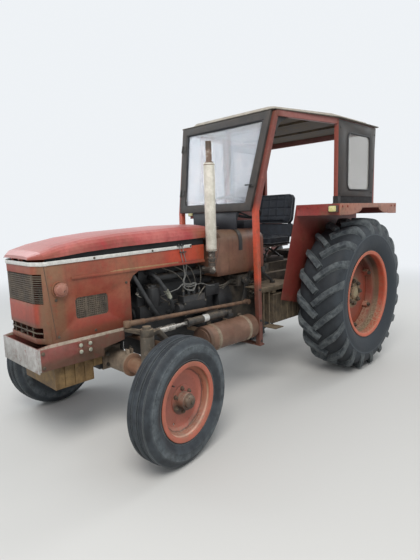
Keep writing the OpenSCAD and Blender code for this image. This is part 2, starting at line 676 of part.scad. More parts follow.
// Bodywork
module side_panels() color("#a8402f") at_axle() union() {
  both() {
    plate_yz(half_w - sheet, sheet) difference() {
      polygon([[nose_end_y + seat, panel_low_z], [panel_rear_y, panel_low_z], [panel_rear_y, 1000],
        [panel_rear_y + 25, 1035], [panel_rear_y + 70, band_low_z], [band_rear_y, band_low_z],
        [band_rear_y, belt_z(band_rear_y) - 4], [nose_end_y + seat, belt_z(nose_end_y) - 4]]);
      round_rect(side_mouth[0], side_mouth[1], 22);
    }
    box([half_w - 14, nose_end_y + 20, 1164], [half_w - sheet / 2, band_rear_y - 1, 1164 + sheet]);
    box([half_w - sheet / 2, nose_y + 197, band_low_z + 4], [half_w + 8, band_rear_y - 1, band_low_z + 18]);
    difference() {
      disc_x(half_w - 1, half_w + 14, nose_y + 120, 1018, 92);
      disc_x(half_w + 4, half_w + 20, nose_y + 120, 1018, 78);
    }
    box([half_w - 30, panel_rear_y - 10, panel_low_z + 1],
      [half_w - sheet / 2, panel_rear_y - 10 + sheet, 1000]);
  }
  // air baffle ahead of the radiator
  box([-half_w + sheet / 2, radiator_y - 30, 1090], [half_w - sheet / 2, radiator_y - 30 + sheet, 1162]);
}
// Outline of the nose in plan at depth d inside the sheet, from its left end round to its right end
function nose_half_plan(d) = concat(
  arc([nose_half - nose_round * tan(nose_slant / 2), nose_y + nose_round], [1, 1] * (nose_round - d),
    -90, nose_slant - 90, 4),
  arc([half_w - side_round, nose_end_y], [1, 1] * (side_round - d), nose_slant - 90, 0, 5));
function nose_plan(d) = concat([for (p = back(nose_half_plan(d))) [-p[0], p[1]]], nose_half_plan(d));
// A band round the nose between two depths
module nose_band(d0, d1, z0, z1) translate([0, 0, z0]) linear_extrude(z1 - z0)
  polygon(concat(nose_plan(d0), back(nose_plan(d1))));
module nose() color("#a8402f") at_axle() union() {
  difference() {
    nose_band(0, sheet, panel_low_z, belt_front_z - 4);
    // the mouth of the grille and the opening below it
    box([-half_w + 16, nose_y - 60, 945], [half_w - 16, nose_side_y - 8, 1108]);
    box([-half_w + 30, nose_y - 60, 752], [half_w - 30, nose_side_y - 14, 812]);
  }
  // brackets and pins of the bonnet's hinge
  both() {
    bar([hinge_x, hinge[0], hinge[1]], [hinge_x, hinge[0] + 9, hinge[1] - 8], 5, 7);
    box([hinge_x - 2.4, nose_y + 1.5, belt_front_z - 14], [hinge_x + 2.4, nose_y + 8, hinge[1] - 5]);
    disc_x(hinge_x - 20, hinge_x + 2, hinge[0], hinge[1], hinge_pin_d);
  }
}
module grille() color("#4b4038") at_axle() union() {
  face = sheet + seat;
  for (z = [950 : 12 : 1100]) nose_band(face + 1, face + 6, z, z + 5);
  for (z = [935, 1109]) nose_band(face, face + 9, z, z + 8);
  for (x = [-150 : 100 : 150]) box([x - 3, nose_y + face + 2, 936], [x + 3, nose_y + face + 10, 1116]);
  for (z = [746, 778, 812]) nose_band(face, face + 4, z, z + 6);
  for (x = [-120 : 80 : 120]) box([x - 3, nose_y + face + 1, 747], [x + 3, nose_y + face + 5, 817]);
  // side grilles behind their openings
  lo = side_mouth[0] - [5, 5];
  hi = side_mouth[1] + [5, 5];
  both() plate_yz(half_w - sheet - seat - 5, 5) difference() {
    polygon([lo, [hi[0], lo[1]], hi, [lo[0], hi[1]]]);
    for (z = [lo[1] + 9 : 12 : hi[1] - 12]) for (i = [0 : 2])
      translate([lo[0] + 10 + i * 68, z]) square([62, 6]);
  }
}
module trim() color("#d8d4cb") at_axle() union() {
  low = -trim_h / 2 - 4;
  ends = [[nose_end_y, belt_z(nose_end_y) + low], [trim_rear_y, belt_z(trim_rear_y) + low]];
  both() plate_yz(half_w, 5) polygon([ends[0], ends[1], ends[1] + [0, trim_h], ends[0] + [0, trim_h]]);
  nose_band(-5, 0, belt_front_z + low, belt_front_z + low + trim_h);
}
// Bonnet: stations from front to back as share of its length, half width, lip height, crown height
bonnet_stations = [
  [0, nose_half - 4, 19, 5],
  [0.004, nose_half + 2, 19, 20],
  [0.0385, half_w + 6, 22, 42],
  [0.1065, half_w + 8, 28, 66],
  [0.221, half_w + 8, 42, 82],
  [0.386, half_w + 8, 54, 92],
  [0.722, half_w + 8, 64, 101],
  [0.908, half_w + 8, 70, 95],
  [0.957, half_w + 4, 70, 85],
  [1, half_w - 14, 68, 42]];
// Half profile of the bonnet's skin: share of the half width and share of the height
bonnet_form = [[1, 0], [1, 0.3], [0.975, 0.52], [0.91, 0.73], [0.8, 0.87], [0.6, 0.95], [0.3, 0.99]];
function bonnet_ring(s, d) = let (
  w = s[1] - d,
  h = max(s[3] - d, 3),
  y = nose_y - 12 + s[0] * (bonnet_rear_y - nose_y + 12),
  z = belt_front_z + s[2]) concat(
  [for (p = bonnet_form) [w * p[0], y, z + h * p[1]]],
  [[0, y, z + h]],
  [for (p = back(bonnet_form)) [-w * p[0], y, z + h * p[1]]]);
module bonnet() color("#b1392f") at_axle() {
  skin([for (s = bonnet_stations) concat(bonnet_ring(s, sheet), back(bonnet_ring(s, 0)))]);
  // hinge eyes, seated under the sheet
  both() difference() {
    union() {
      disc_x(hinge_x - 18, hinge_x - 3, hinge[0], hinge[1], 14);
      box([hinge_x - 17, hinge[0], hinge[1] + 3], [hinge_x - 4, hinge[0] + 8, hinge[1] + 16.7]);
    }
    disc_x(hinge_x - 30, hinge_x + 10, hinge[0], hinge[1], hinge_pin_d + 2 * run);
  }
}
// The tank's front is stepped down to carry the bonnet's rear edge
module fuel_tank() color("#8a4334") at_axle() union() {
  intersection() {
    plate_yz(-tank_half, 2 * tank_half) polygon(concat(
      [[tank_front_y, 1010], [tank_front_y + 55, tank_low_z]],
      [[tank_rear_y - 40, tank_low_z], [tank_rear_y, 955]],
      arc([tank_rear_y - 80, tank_top_z - 80], [80, 80], 0, 90),
      [[bonnet_rear_y + 14, tank_top_z], [bonnet_rear_y + 10, tank_top_z - 54]],
      arc([tank_front_y + 65, tank_top_z - 120], [65, 66], 90, 180)));
    rotate([90, 0, 0]) linear_extrude(-tank_front_y)
      round_rect([-tank_half, tank_low_z - 30], [tank_half, tank_top_z], 85);
  }
  disc_z(tank_top_z - 1, tank_top_z + 14, 90, -1190, 70);
}
module dashboard() color("#2a2a2b") at_axle() union() {
  box([-240, screen_foot_y - 8, tank_top_z + seat], [240, screen_foot_y, screen_foot_z - seat]);
  box([-200, tank_rear_y + seat, 1010], [200, tank_rear_y + 40, 1330]);
  box([-180, -930, tank_top_z + seat], [180, tank_rear_y + 39, 1345]);
  rod(wheel_hub - 140 * wheel_axis, wheel_hub - (40 + seat) * wheel_axis, 50);
}
exhaust_at = [half_w + 14 + muffler_d / 2, -1430, 1000];
module exhaust() color("#c9c3b4") at_axle() union() {
  x = exhaust_at[0];
  y = exhaust_at[1];
  z = exhaust_at[2];
  disc_x(200 + seat, x, y, z, 46);
  translate([x, y, z]) sphere(d = 56);
  disc_z(z, 1142, x, y, 50);
  disc_z(1076, 1092, x, y, 62);
  disc_z(1141, 1755, x, y, muffler_d);
  disc_z(1754, 1904, x, y, tail_pipe_d);
  disc_z(1754, 1766, x, y, tail_pipe_d + 14);
}
module air_tank() color("#7e5038") at_axle() union() {
  at = [385, 542];
  disc_y(-1640, -1130, at[0], at[1], 186);
  disc_y(-1650, -1120, at[0], at[1], 150);
  // straps and their brackets, on the crankcase and on the bell housing
  for (s = [[-1560, crank_half], [-1230, box_half]]) {
    disc_y(s[0], s[0] + 24, at[0], at[1], 194);
    box([s[1] + seat, s[0], 564], [300, s[0] + 24, 588]);
  }
}
module battery_box() color("#6a5844") at_axle() union() {
  box([250, -872, 516], [424, -500, 752]);
  box([244, -878, 744], [430, -494, 756]);
  box([box_half + seat, -800, 690], [252, -670, 712]);
  box([box_wide + seat, -655, 690], [252, -560, 712]);
}
module footplates() color("#5b4a3d") at_axle() union() {
  low = foot_z - 50;
  t = 4;
  front = screen_foot_y + post_front + post_t / 2 + seat;
  rear = fender_front_y + 20;
  in_x = box_wide + seat;
  out_x = fender_in_x - seat;
  cut = [drop_pivot[0] + 22, drop_pivot[1] + 110];
  both() {
    box([in_x, cut[1], foot_z], [out_x, rear, foot_z + t]);
    box([out_x - t, front, foot_z - 30], [out_x, rear, foot_z + t - 0.5]);
    // brackets on the gearbox
    box([box_half + seat, cut[1] + 5, low], [out_x - 10, cut[1] + 45, foot_z + 1]);
    box([in_x, -640, low], [out_x - 10, -600, foot_z + 1]);
  }
  box([cut[0], front, foot_z], [out_x - 1, cut[1] + 1, foot_z + t]);
  box([-out_x + 1, front, foot_z], [-in_x, cut[1] + 1, foot_z + t]);
  // step below the left plate
  box([out_x - 14, -1030, 520], [560, -930, 526]);
  for (y = [-1020, -950]) rod([out_x - 6, y, foot_z - 20], [out_x - 6, y, 523], 10);
}
b_post = [cab_w / 2 - quarter_t - seat - 20, post_b_y + 20];
c_post = [b_post[0], cab_rear_y - 20];
module cab_frame() color("#b04a3c") at_axle() {
  foot_x = 432;
  post_y = screen_foot_y + post_front;
  post_top = [screen_top_w / 2 + 10, screen_top_y + post_front, screen_top_z];
  union() {
    both() {
      // front post, from its foot bracket to the roof
      post([[foot_x, post_y, post_foot_z], [screen_foot_w / 2 + 20, post_y, screen_foot_z], post_top],
        38, post_t);
      box([box_half + seat, post_y - 26, post_foot_z - 3], [foot_x + 26, post_y + 28, post_foot_z + 9]);
      box([box_half + seat, post_y - 25, post_foot_z - 2], [box_half + 14, post_y + 27, 560]);
      // roof rail from the front post to the rear quarter, and on to the back
      bar([post_top[0], post_top[1], rail_z], [b_post[0], b_post[1], rail_z], 34, 44);
      bar([b_post[0], b_post[1] - 24, rail_z + 1], [c_post[0], c_post[1] + 18, rail_z + 1], 30, 38);
      post([[b_post[0], b_post[1], fender_z + seat], [b_post[0], b_post[1], rail_z + 10]], 40, 36);
      post([[c_post[0], c_post[1], fender_z + seat], [c_post[0], c_post[1], rail_z + 9]], 38, 34);
    }
    bar([-c_post[0], c_post[1], rail_z - 7], [c_post[0], c_post[1], rail_z - 7], 30, 52);
    bar([-post_top[0], post_top[1], rail_z + 1.5], [post_top[0], post_top[1], rail_z + 1.5], 32, 34);
  }
}
// The windscreen frame lies in a leaning plane: its outline at inset d
function screen_outline(d) = let (
  h = (screen_top_z - screen_foot_z) / cos(screen_lean),
  a = screen_foot_w / 2 - d,
  b = screen_top_w / 2 - d) [[-a, d], [a, d], [b, h - d], [-b, h - d]];
quarter_window = [[-110, 1578], [305, 2050]];
module at_screen() at_axle() translate([0, screen_foot_y, screen_foot_z]) rotate([90 - screen_lean, 0, 0])
  children();
module cab_panels() color("#4d433d") {
  at_screen() linear_extrude(cab_sheet) difference() {
    polygon(screen_outline(0));
    polygon(screen_outline(screen_rim));
  }
  at_axle() both() plate_yz(cab_w / 2 - quarter_t, quarter_t) difference() {
    polygon([[post_b_y, quarter_low_z], [cab_rear_y - 40, quarter_low_z], [cab_rear_y, screen_top_z],
      [post_b_y, screen_top_z]]);
    round_rect(quarter_window[0], quarter_window[1], 50);
  }
}
module cab_glass() color([0.75, 0.85, 0.88, 0.4]) {
  gap = [seat, seat];
  at_screen() translate([0, 0, 4]) linear_extrude(glass_t) polygon(screen_outline(screen_rim + seat));
  at_axle() both() plate_yz(cab_w / 2 - quarter_t, quarter_t)
    round_rect(quarter_window[0] + gap, quarter_window[1] - gap, 50);
}
// The roof in plan at inset d, with its corners cut by c
function roof_plan(d, c) = let (
  f = screen_top_w / 2 + 22 - d,
  m = cab_w / 2 + 16 - d,
  y0 = screen_top_y - 22 + d,
  y1 = cab_rear_y + 40 - d,
  half = [[f - c, y0], [f + c / 3, y0 + c], [m, post_b_y], [m, y1 - c], [m - c, y1]])
  concat(half, [for (p = back(half)) [-p[0], p[1]]]);
module cab_roof() color("#9c978a") at_axle() union() {
  brim = 6;
  translate([0, 0, roof_z]) linear_extrude(brim) polygon(roof_plan(0, 14));
  skin([for (s = [[60, brim - 1], [66, roof_edge * 0.55], [84, roof_edge]])
    [for (p = roof_plan(s[0], 24)) [p[0], p[1], roof_z + s[1]]]]);
}
module fenders() color("#a83a2e") at_axle() both() union() {
  x1 = fender_w / 2;
  z0 = fender_z - fender_sheet;
  low = fender_z - band_h;
  // ends of the shallow middle of the outer band
  a = [fender_front_y + 150, fender_z - shallow_h];
  b = [fender_rear_y - 150, fender_z - shallow_h];
  dip = band_h - shallow_h;
  box([fender_in_x, fender_front_y, z0], [x1, fender_rear_y, fender_z]);
  plate_yz(x1 - fender_sheet, fender_sheet) polygon(concat(
    [[fender_front_y, z0 + 1], [fender_front_y, low], [a[0], low]],
    arc([a[0], a[1]], [220, -dip], 90, 0),
    arc([b[0], b[1]], [220, -dip], 180, 90),
    [[fender_rear_y, low], [fender_rear_y, z0 + 1]]));
  box([fender_in_x, fender_front_y, low], [x1, fender_front_y + fender_sheet, z0 + 1]);
  box([fender_in_x, fender_rear_y - fender_sheet, low], [x1, fender_rear_y, z0 + 1]);
  plate_yz(fender_in_x, fender_sheet) polygon([[fender_front_y, z0 + 1], [fender_front_y - 225, 700],
    [fender_front_y + 20, 640], [-330, 780], [-200, 830], [200, 830], [330, 900], [fender_rear_y, 1250],
    [fender_rear_y, z0 + 1]]);
  // bracket on the axle housing
  box([fender_in_x + 1, -90, rear_r + 85 + seat], [fender_in_x + 11, 90, 840]);
}
module seat_base() color("#2b2a29") at_axle() union() {
  box([-170, seat_y - 190, pan_z - 10], [170, seat_y + 200, pan_z]);
  box([-110, seat_y - 120, pillar_top_z + seat], [110, seat_y + 140, 1000]);
  for (s = [-1, 1]) {
    rod([s * 90, seat_y - 100, 990], [s * 90, seat_y + 130, pan_z - 12], 20);
    rod([s * 90, seat_y + 130, 990], [s * 90, seat_y - 100, pan_z - 12], 20);
    at_back() translate([s * 150 - 15, -124, -8 - seat]) cube([30, 384, 8]);
  }
}
module seat_cushion() color("#1d1d1f") at_axle() translate([0, 0, pan_z + seat]) linear_extrude(80)
  round_rect([-215, seat_y - 200], [215, seat_y + 140], 50);
// The seat's back leans, drawn upwards in its own plane
module at_back() translate([0, seat_y + 170, 1240]) rotate([80, 0, 0]) children();
module seat_back() color("#1d1d1f") at_axle() at_back() linear_extrude(70)
  round_rect([-215, 40], [215, 340], 60);
module controls() color("#33302d") at_axle() union() {
  foot = foot_z + 4 + seat;
  // gear and range levers, in bosses on the gearbox
  for (l = [[120, -700, 190, -648, 1084, 38], [-120, -700, -150, -650, 1040, 34]]) {
    disc_z(box_top_z + seat, 852, l[0], l[1], 60);
    rod([l[0], l[1], 845], [l[2], l[3], l[4] - 10], 15, $fn = 8);
    translate([l[2], l[3], l[4]]) rotate_extrude() polygon(arc([0, 0], [l[5], l[5]] / 2, -90, 90, 8));
  }
  // pedals: one on the left, two on the right
  for (x = [330, -310, -375]) {
    box([x - 14, -776, foot], [x + 14, -744, foot + 20]);
    bar([x, -760, foot + 14], [x, -905, 940], 12, 18);
    box([x - 30, -930, 925], [x + 30, -895, 975]);
  }
}
hose_a = [[186, radiator_y + radiator_t + seat, 1090], [186, front_y - 25, 1090], [190, front_y + 15, 1084],
  [202, front_y + 62, 1062],
  [216, front_y + 104, 1022], [236, front_y + 131, 956], [244, front_y + 175, 872], [240, front_y + 230, 789],
  [205, front_y + 285, 742], [168, front_y + 300, 736], [crank_half + seat, front_y + 300, 736]];
hose_b = [[head_half + seat, front_y + 262, 1026], [150, front_y + 262, 1026], [190, front_y + 274, 1018],
  [225, front_y + 290, 984], [245, front_y + 328, 919], [245, front_y + 375, 833], [215, front_y + 415, 765],
  [172, front_y + 425, 732], [crank_half + seat, front_y + 425, 732]];
// A tube through a list of points
module tube_along(p, d) {
  n = 10;
  m = len(p);
  function dir(i) = let (v = p[min(i + 1, m - 1)] - p[max(i - 1, 0)]) v / norm(v);
  function across(t) = let (c = cross(t, abs(t[1]) > 0.9 ? [0, 0, 1] : [0, 1, 0])) c / norm(c);
  skin([for (i = [0 : m - 1]) let (t = dir(i), u = across(t), w = cross(t, u))
    [for (k = [0 : n - 1]) p[i] + d / 2 * (cos(k * 360 / n) * u + sin(k * 360 / n) * w)]]);
}
module hoses() color("#202022") at_axle() {
  tube_along(hose_a, 26);
  tube_along(hose_b, 26);
}
module lamps() color("#c9b98a") at_axle() both() {
  disc_x(half_w + 4 + seat, half_w + 26, nose_y + 120, 1018, 74);
  box([fender_w / 2 - 80, fender_front_y - 34, fender_z - 66], [fender_w / 2 - 10, fender_front_y - seat,
    fender_z - 14]);
}
module drawbar() color("#4a4440") at_axle() difference() {
  end_y = rear_reach - 150;
  union() {
    box([-40, -180, 396], [40, end_y, 424]);
    disc_z(396, 424, 0, end_y, 80);
    for (s = [-1, 1]) box([s * 60 - 10, 0, 396], [s * 60 + 10, 120, 470 - seat]);
    box([-70, 1, 380], [70, 119, 397]);
    box([-70, 1, 424], [70, 119, 440]);
  }
  disc_z(390, 430, 0, end_y, drawbar_bore_d);
}
module pto_shaft() color("#8d8a84") at_axle() disc_y(205 + seat, 300, 0, 620, pto_d);
// Three-point hitch: the lift arms stay parallel to the lower links
link_dir = [0, cos(link_drop), -sin(link_drop)];
link_p = [0, link_pivot[0], link_pivot[1]];
lift_p = [0, lift_pivot[0], lift_pivot[1]];
link_half = link_spread / 2;
link_t = 22;
eye_t = 32;
module lower_links() color("#55483f") at_axle() for (s = [-1, 1]) difference() {
  x = s * link_half;
  ball = link_p + lower_link * link_dir;
  pin = link_p + link_pin * link_dir;
  union() {
    bar(link_p + [x, 0, 0], ball + [x, 0, 0], link_t, 60);
    disc_x(x - 18, x + 18, link_p[1], link_p[2], 76);
    disc_x(x - 22, x + 22, ball[1], ball[2], 78);
  }
  disc_x(x - 30, x + 30, link_p[1], link_p[2], link_pin_d + 2 * run);
  disc_x(x - 30, x + 30, ball[1], ball[2], ball_bore_d);
  disc_x(x - 30, x + 30, pin[1], pin[2], rod_pin_d);
}
// The lift arms carry the pins of the lift rods' upper eyes
module lift_arms() color("#55483f") at_axle() for (s = [-1, 1]) difference() {
  x = s * (link_half - 60);
  end = lift_p + link_pin * link_dir;
  union() {
    bar(lift_p + [x, 0, 0], end + [x, 0, 0], 24, 56);
    disc_x(x - 26, x + 26, lift_p[1], lift_p[2], 100);
    disc_x(x - 14, x + 14, end[1], end[2], 56);
    rod([x, end[1], end[2]], [x + s * (14 + seat + eye_t + 6), end[1], end[2]], rod_pin_d - 2 * run);
  }
  disc_x(x - 40, x + 40, lift_p[1], lift_p[2], lift_shaft_d + 2 * run);
}
module lift_rods() color("#6b5d50") at_axle() for (s = [-1, 1]) {
  low = link_p + link_pin * link_dir + [s * (link_half - link_t / 2 - eye_t / 2 - seat), 0, 0];
  top = lift_p + link_pin * link_dir + [s * (link_half - 60 + 14 + eye_t / 2 + seat), 0, 0];
  difference() {
    union() {
      rod(low, top, 28);
      disc_x(low[0] - eye_t / 2, low[0] + eye_t / 2, low[1], low[2], 54);
      disc_x(top[0] - eye_t / 2, top[0] + eye_t / 2, top[1], top[2], 54);
      rod(low, [s * (link_half + link_t / 2 + 6), low[1], low[2]], rod_pin_d - 2 * run);
    }
    disc_x(top[0] - eye_t, top[0] + eye_t, top[1], top[2], rod_pin_d);
  }
}

engine();
engine_gear();
gearbox();
front_axle();
front_support();
bumper_frame();
front_weights();
radiator();
side_panels();
nose();
grille();
trim();
fuel_tank();
dashboard();
exhaust();
air_tank();
battery_box();
footplates();
fenders();
cab_frame();
cab_panels();
cab_glass();
cab_roof();
seat_base();
seat_cushion();
seat_back();
controls();
hoses();
lamps();
drawbar();
pto_shaft();
bonnet();
steering_wheel();
knuckle_l();
knuckle_r();
tie_rod();
drag_link();
drop_arm();
ram_body();
ram_rod();
front_rim_l();
front_rim_r();
front_tyre_l();
front_tyre_r();
rear_rim_l();
rear_rim_r();
rear_tyre_l();
rear_tyre_r();
lower_links();
lift_arms();
lift_rods();
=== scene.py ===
# Vintage farm tractor with a weather cab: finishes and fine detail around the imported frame.
import json
import math

import bmesh
import bpy
from mathutils import Matrix, Vector, kdtree


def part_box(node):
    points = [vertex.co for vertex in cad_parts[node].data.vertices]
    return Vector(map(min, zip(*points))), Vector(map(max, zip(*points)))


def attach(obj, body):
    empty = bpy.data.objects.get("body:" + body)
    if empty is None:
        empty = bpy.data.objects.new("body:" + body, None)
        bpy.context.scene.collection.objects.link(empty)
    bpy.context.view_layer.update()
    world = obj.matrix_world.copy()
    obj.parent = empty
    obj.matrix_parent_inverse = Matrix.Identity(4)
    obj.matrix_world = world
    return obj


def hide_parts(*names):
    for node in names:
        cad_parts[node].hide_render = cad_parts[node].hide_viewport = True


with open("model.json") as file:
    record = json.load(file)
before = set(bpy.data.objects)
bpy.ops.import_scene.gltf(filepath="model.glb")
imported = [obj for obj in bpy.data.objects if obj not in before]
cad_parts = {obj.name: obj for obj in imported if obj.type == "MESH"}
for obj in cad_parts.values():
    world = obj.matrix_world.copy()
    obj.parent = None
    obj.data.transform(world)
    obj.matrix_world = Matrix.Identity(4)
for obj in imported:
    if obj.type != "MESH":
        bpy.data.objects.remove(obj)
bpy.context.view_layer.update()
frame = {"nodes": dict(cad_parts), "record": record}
nodes = frame["nodes"]

# Places are millimetres from the rear axle at floor level: x to the tractor's left, y rearwards, z up
REAR_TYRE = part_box("rear_tyre_l")
AXLE_Y = (REAR_TYRE[0].y + REAR_TYRE[1].y) / 2
MM = 0.001


def at(x, y, z):
    """A place in millimetres from the rear axle, as a point of the row frame in metres."""
    return Vector((x * MM, y * MM + AXLE_Y, z * MM))


def srgb(r, g, b):
    """A colour given as 0 to 255 display values, as linear RGBA."""
    def linear(c):
        c /= 255
        return c / 12.92 if c <= 0.04045 else ((c + 0.055) / 1.055) ** 2.4
    return linear(r), linear(g), linear(b), 1.0


# Camera: fitted to the photo's wheels, bonnet and cab; angles in degrees, the place in metres
PHOTO_H, FOCAL_PX, SENSOR = 560, 438.07, 36.0
CAMERA_X, CAMERA_FORWARD, CAMERA_Z = 2.5042, -3.6741, 1.3973
YAW, PITCH, ROLL = 44.915, 8.4407, 1.7859


def make_camera():
    yaw, pitch, roll = (math.radians(a) for a in (YAW, PITCH, ROLL))
    ahead = Vector((-math.sin(yaw) * math.cos(pitch), math.cos(yaw) * math.cos(pitch), -math.sin(pitch)))
    level = Vector((math.cos(yaw), math.sin(yaw), 0))
    down = ahead.cross(level)
    right = level * math.cos(roll) + down * math.sin(roll)
    below = down * math.cos(roll) - level * math.sin(roll)
    data = bpy.data.cameras.new("camera")
    data.sensor_width = SENSOR
    data.lens = FOCAL_PX * SENSOR / PHOTO_H
    camera = bpy.data.objects.new("camera", data)
    camera.matrix_world = Matrix((
        (right.x, -below.x, -ahead.x, CAMERA_X),
        (right.y, -below.y, -ahead.y, CAMERA_FORWARD + AXLE_Y),
        (right.z, -below.z, -ahead.z, CAMERA_Z),
        (0, 0, 0, 1)))
    bpy.context.scene.collection.objects.link(camera)
    bpy.context.scene.camera = camera


# Materials


class Finish:
    """The node tree of one procedural material, on the object's own coordinates in metres."""

    def __init__(self, name):
        self.name = name
        self.material = bpy.data.materials.new(name + "_finish")
        self.material.use_nodes = True
        self.tree = self.material.node_tree
        self.tree.nodes.clear()
        self.shader = self.tree.nodes.new("ShaderNodeBsdfPrincipled")
        output = self.tree.nodes.new("ShaderNodeOutputMaterial")
        self.feed(output.inputs[0], self.shader.outputs[0])
        self.place = self.run("ShaderNodeTexCoord", {}, "Object")
        self.normal = self.run("ShaderNodeNewGeometry", {}, "Normal")

    def feed(self, socket, value):
        """Links a socket or sets its value; a colour may be given as three display values."""
        if isinstance(value, bpy.types.NodeSocket):
            self.tree.links.new(value, socket)
        elif socket.type == "RGBA" and len(value) == 3:
            socket.default_value = srgb(*value)
        else:
            socket.default_value = value

    def run(self, kind, inputs, output=0, **settings):
        """A new node, its inputs fed by name or number; gives one of its outputs."""
        made = self.tree.nodes.new(kind)
        for key, value in settings.items():
            setattr(made, key, value)
        for key, value in inputs.items():
            self.feed(made.inputs[key], value)
        return made.outputs[output]

    def noise(self, scale, detail=3.0, rough=0.6, stretch=None, warp=0.0):
        """Noise on the object's coordinates, which may be scaled along each axis."""
        place = self.place
        if stretch:
            place = self.run("ShaderNodeMapping", {"Vector": place, "Scale": stretch})
        return self.run("ShaderNodeTexNoise", {"Vector": place, "Scale": scale, "Detail": detail,
                                               "Roughness": rough, "Distortion": warp}, "Fac")

    def range(self, value, low, high, to_low=0.0, to_high=1.0):
        """Value mapped from low..high to to_low..to_high, clamped and eased."""
        limits = {"Value": value, "From Min": low, "From Max": high, "To Min": to_low, "To Max": to_high}
        return self.run("ShaderNodeMapRange", limits, "Result", interpolation_type="SMOOTHSTEP")

    def math(self, operation, a, b=0.0):
        clamp = operation != "SUBTRACT"
        return self.run("ShaderNodeMath", {0: a, 1: b}, operation=operation, use_clamp=clamp)

    def times(self, a, b):
        return self.math("MULTIPLY", a, b)

    def mix(self, share, a, b):
        return self.run("ShaderNodeMix", {0: share, 6: a, 7: b}, 2, data_type="RGBA")

    def cover(self, color, tone, mask, share=1.0):
        """The colour with a tone laid over it, where and as far as the mask says."""
        return self.mix(mask if share == 1.0 else self.times(mask, share), color, tone)

    def blend_number(self, share, a, b):
        return self.run("ShaderNodeMix", {0: share, 2: a, 3: b}, data_type="FLOAT")

    def axis(self, index, vector=None):
        return self.run("ShaderNodeSeparateXYZ", {0: vector or self.place}, index)

    def span(self, index, low, high, soft=3.0):
        """1 where a place is within low..high millimetres along an axis; x counts both ways."""
        shift = AXLE_Y if index == 1 else 0.0
        value = self.axis(index)
        if index == 0:
            value = self.math("ABSOLUTE", value)
        low, high, soft = low * MM + shift, high * MM + shift, soft * MM
        return self.times(self.range(value, low - soft, low + soft),
                          self.range(value, high - soft, high + soft, 1.0, 0.0))

    def recolor(self, color):
        """Other colours, a little ragged, in parts of a piece."""
        for spans, tone, share in REGIONS.get(self.name, ()):
            mask = self.range(self.noise(26, 4, 0.7), 0.32, 0.46, share * 0.45, share)
            for span in spans:
                mask = self.times(mask, self.span(*span))
            color = self.mix(mask, color, tone)
        return color

    def facing_up(self, low=0.3, high=0.95):
        return self.range(self.axis(2, self.normal), low, high)

    def edges(self, radius, low=0.04, high=0.22):
        """1 along convex and concave edges within the radius, 0 on the flats."""
        rounded = self.run("ShaderNodeBevel", {"Radius": radius}, samples=4)
        faces = {0: rounded, 1: self.normal}
        turn = self.run("ShaderNodeVectorMath", faces, "Value", operation="DOT_PRODUCT")
        return self.range(self.math("SUBTRACT", 1.0, turn), low, high)

    def bump(self, height, strength=0.3, distance=0.002):
        raised = self.run("ShaderNodeBump", {"Strength": strength, "Distance": distance, "Height": height})
        self.feed(self.shader.inputs["Normal"], raised)

    def done(self, color, rough, metal=0.0, specular=0.5, coat=0.0, coat_rough=0.3, **more):
        looks = {"Base Color": color, "Roughness": rough, "Metallic": metal, "Specular IOR Level": specular,
                 "Coat Weight": coat, "Coat Roughness": coat_rough, **more}
        for key, value in looks.items():
            self.feed(self.shader.inputs[key], value)
        return self.material


RUST, DARK_RUST = (104, 66, 44), (58, 42, 34)
DUST, MUD, LOW_DIRT = (146, 128, 106), (104, 82, 58), (92, 70, 54)


def darker(color, share):
    return tuple(c * share for c in srgb(*color)[:3]) + (1,)


def paint(name, base, faded, rust_share=0.5, fade_and_sheen_up=0.8, streaks=0.3, rough=0.5, low_dirt=0.6, gloss=0.0,
          dirt=0.5):
    """Old enamel: faded in clouds, lighter on top faces from sun fading and a painted sky highlight, chipped
    at edges, rusty in patches, dirty low down.
    """
    f = Finish(name)
    fine, speck = f.noise(38, 4, 0.7), f.noise(160, 3, 0.6)
    color = f.recolor(f.mix(f.range(f.noise(3.1, 5, 0.62), 0.36, 0.68), base, faded))
    color = f.cover(color, MUD, f.range(f.noise(2.6, 6, 0.7, warp=0.6), 0.50, 0.66, 0.0, dirt))
    # top faces lightened towards the faded colour: part sun fading, part a painted sky highlight
    color = f.cover(color, faded, f.facing_up(0.35, 0.98), fade_and_sheen_up)
    color = f.cover(color, darker(base, 0.62), f.range(fine, 0.42, 0.72), 0.30)
    drips = f.noise(9, 4, 0.65, stretch=(1.0, 1.0, 0.10))
    color = f.cover(color, DARK_RUST, f.range(drips, 0.52, 0.74), streaks)
    patches = f.times(f.range(f.noise(5.2, 6, 0.68, warp=0.4), 0.60, 0.70), f.range(fine, 0.35, 0.62))
    worn = f.times(f.edges(0.006), f.range(speck, 0.36, 0.62))
    rusty = f.times(f.math("MAXIMUM", patches, worn), rust_share)
    rusty = f.math("MAXIMUM", rusty, f.times(f.range(speck, 0.66, 0.72), rust_share))
    color = f.mix(rusty, color, RUST)
    low = f.times(f.range(f.axis(2), 0.35, 1.05, 1.0, 0.0), f.range(f.noise(14, 4), 0.3, 0.7))
    color = f.cover(color, LOW_DIRT, low, low_dirt)
    f.bump(f.math("ADD", f.times(fine, 0.5), rusty), 0.25, 0.0012)
    return f.done(color, f.blend_number(rusty, rough, 0.85), 0.0, 0.5, gloss, 0.28)


def cast(name, base, light, dust=0.4, rough=0.75, metal=0.0, scale=14):
    """Greasy or rusty castings with settled dust on their upper faces."""
    f = Finish(name)
    grease, fine = f.noise(scale, 5, 0.68), f.noise(scale * 9, 4, 0.7)
    color = f.recolor(f.mix(f.range(grease, 0.34, 0.70), base, light))
    color = f.cover(color, darker(base, 0.45), f.range(fine, 0.5, 0.8), 0.5)
    color = f.cover(color, DUST, f.times(f.facing_up(0.2, 0.9), f.range(f.noise(24, 4), 0.3, 0.7)), dust)
    color = f.cover(color, light, f.edges(0.004), 0.35)
    f.bump(f.math("ADD", fine, grease), 0.35, 0.0016)
    return f.done(color, f.range(grease, 0.3, 0.8, rough - 0.15, rough + 0.15), metal)


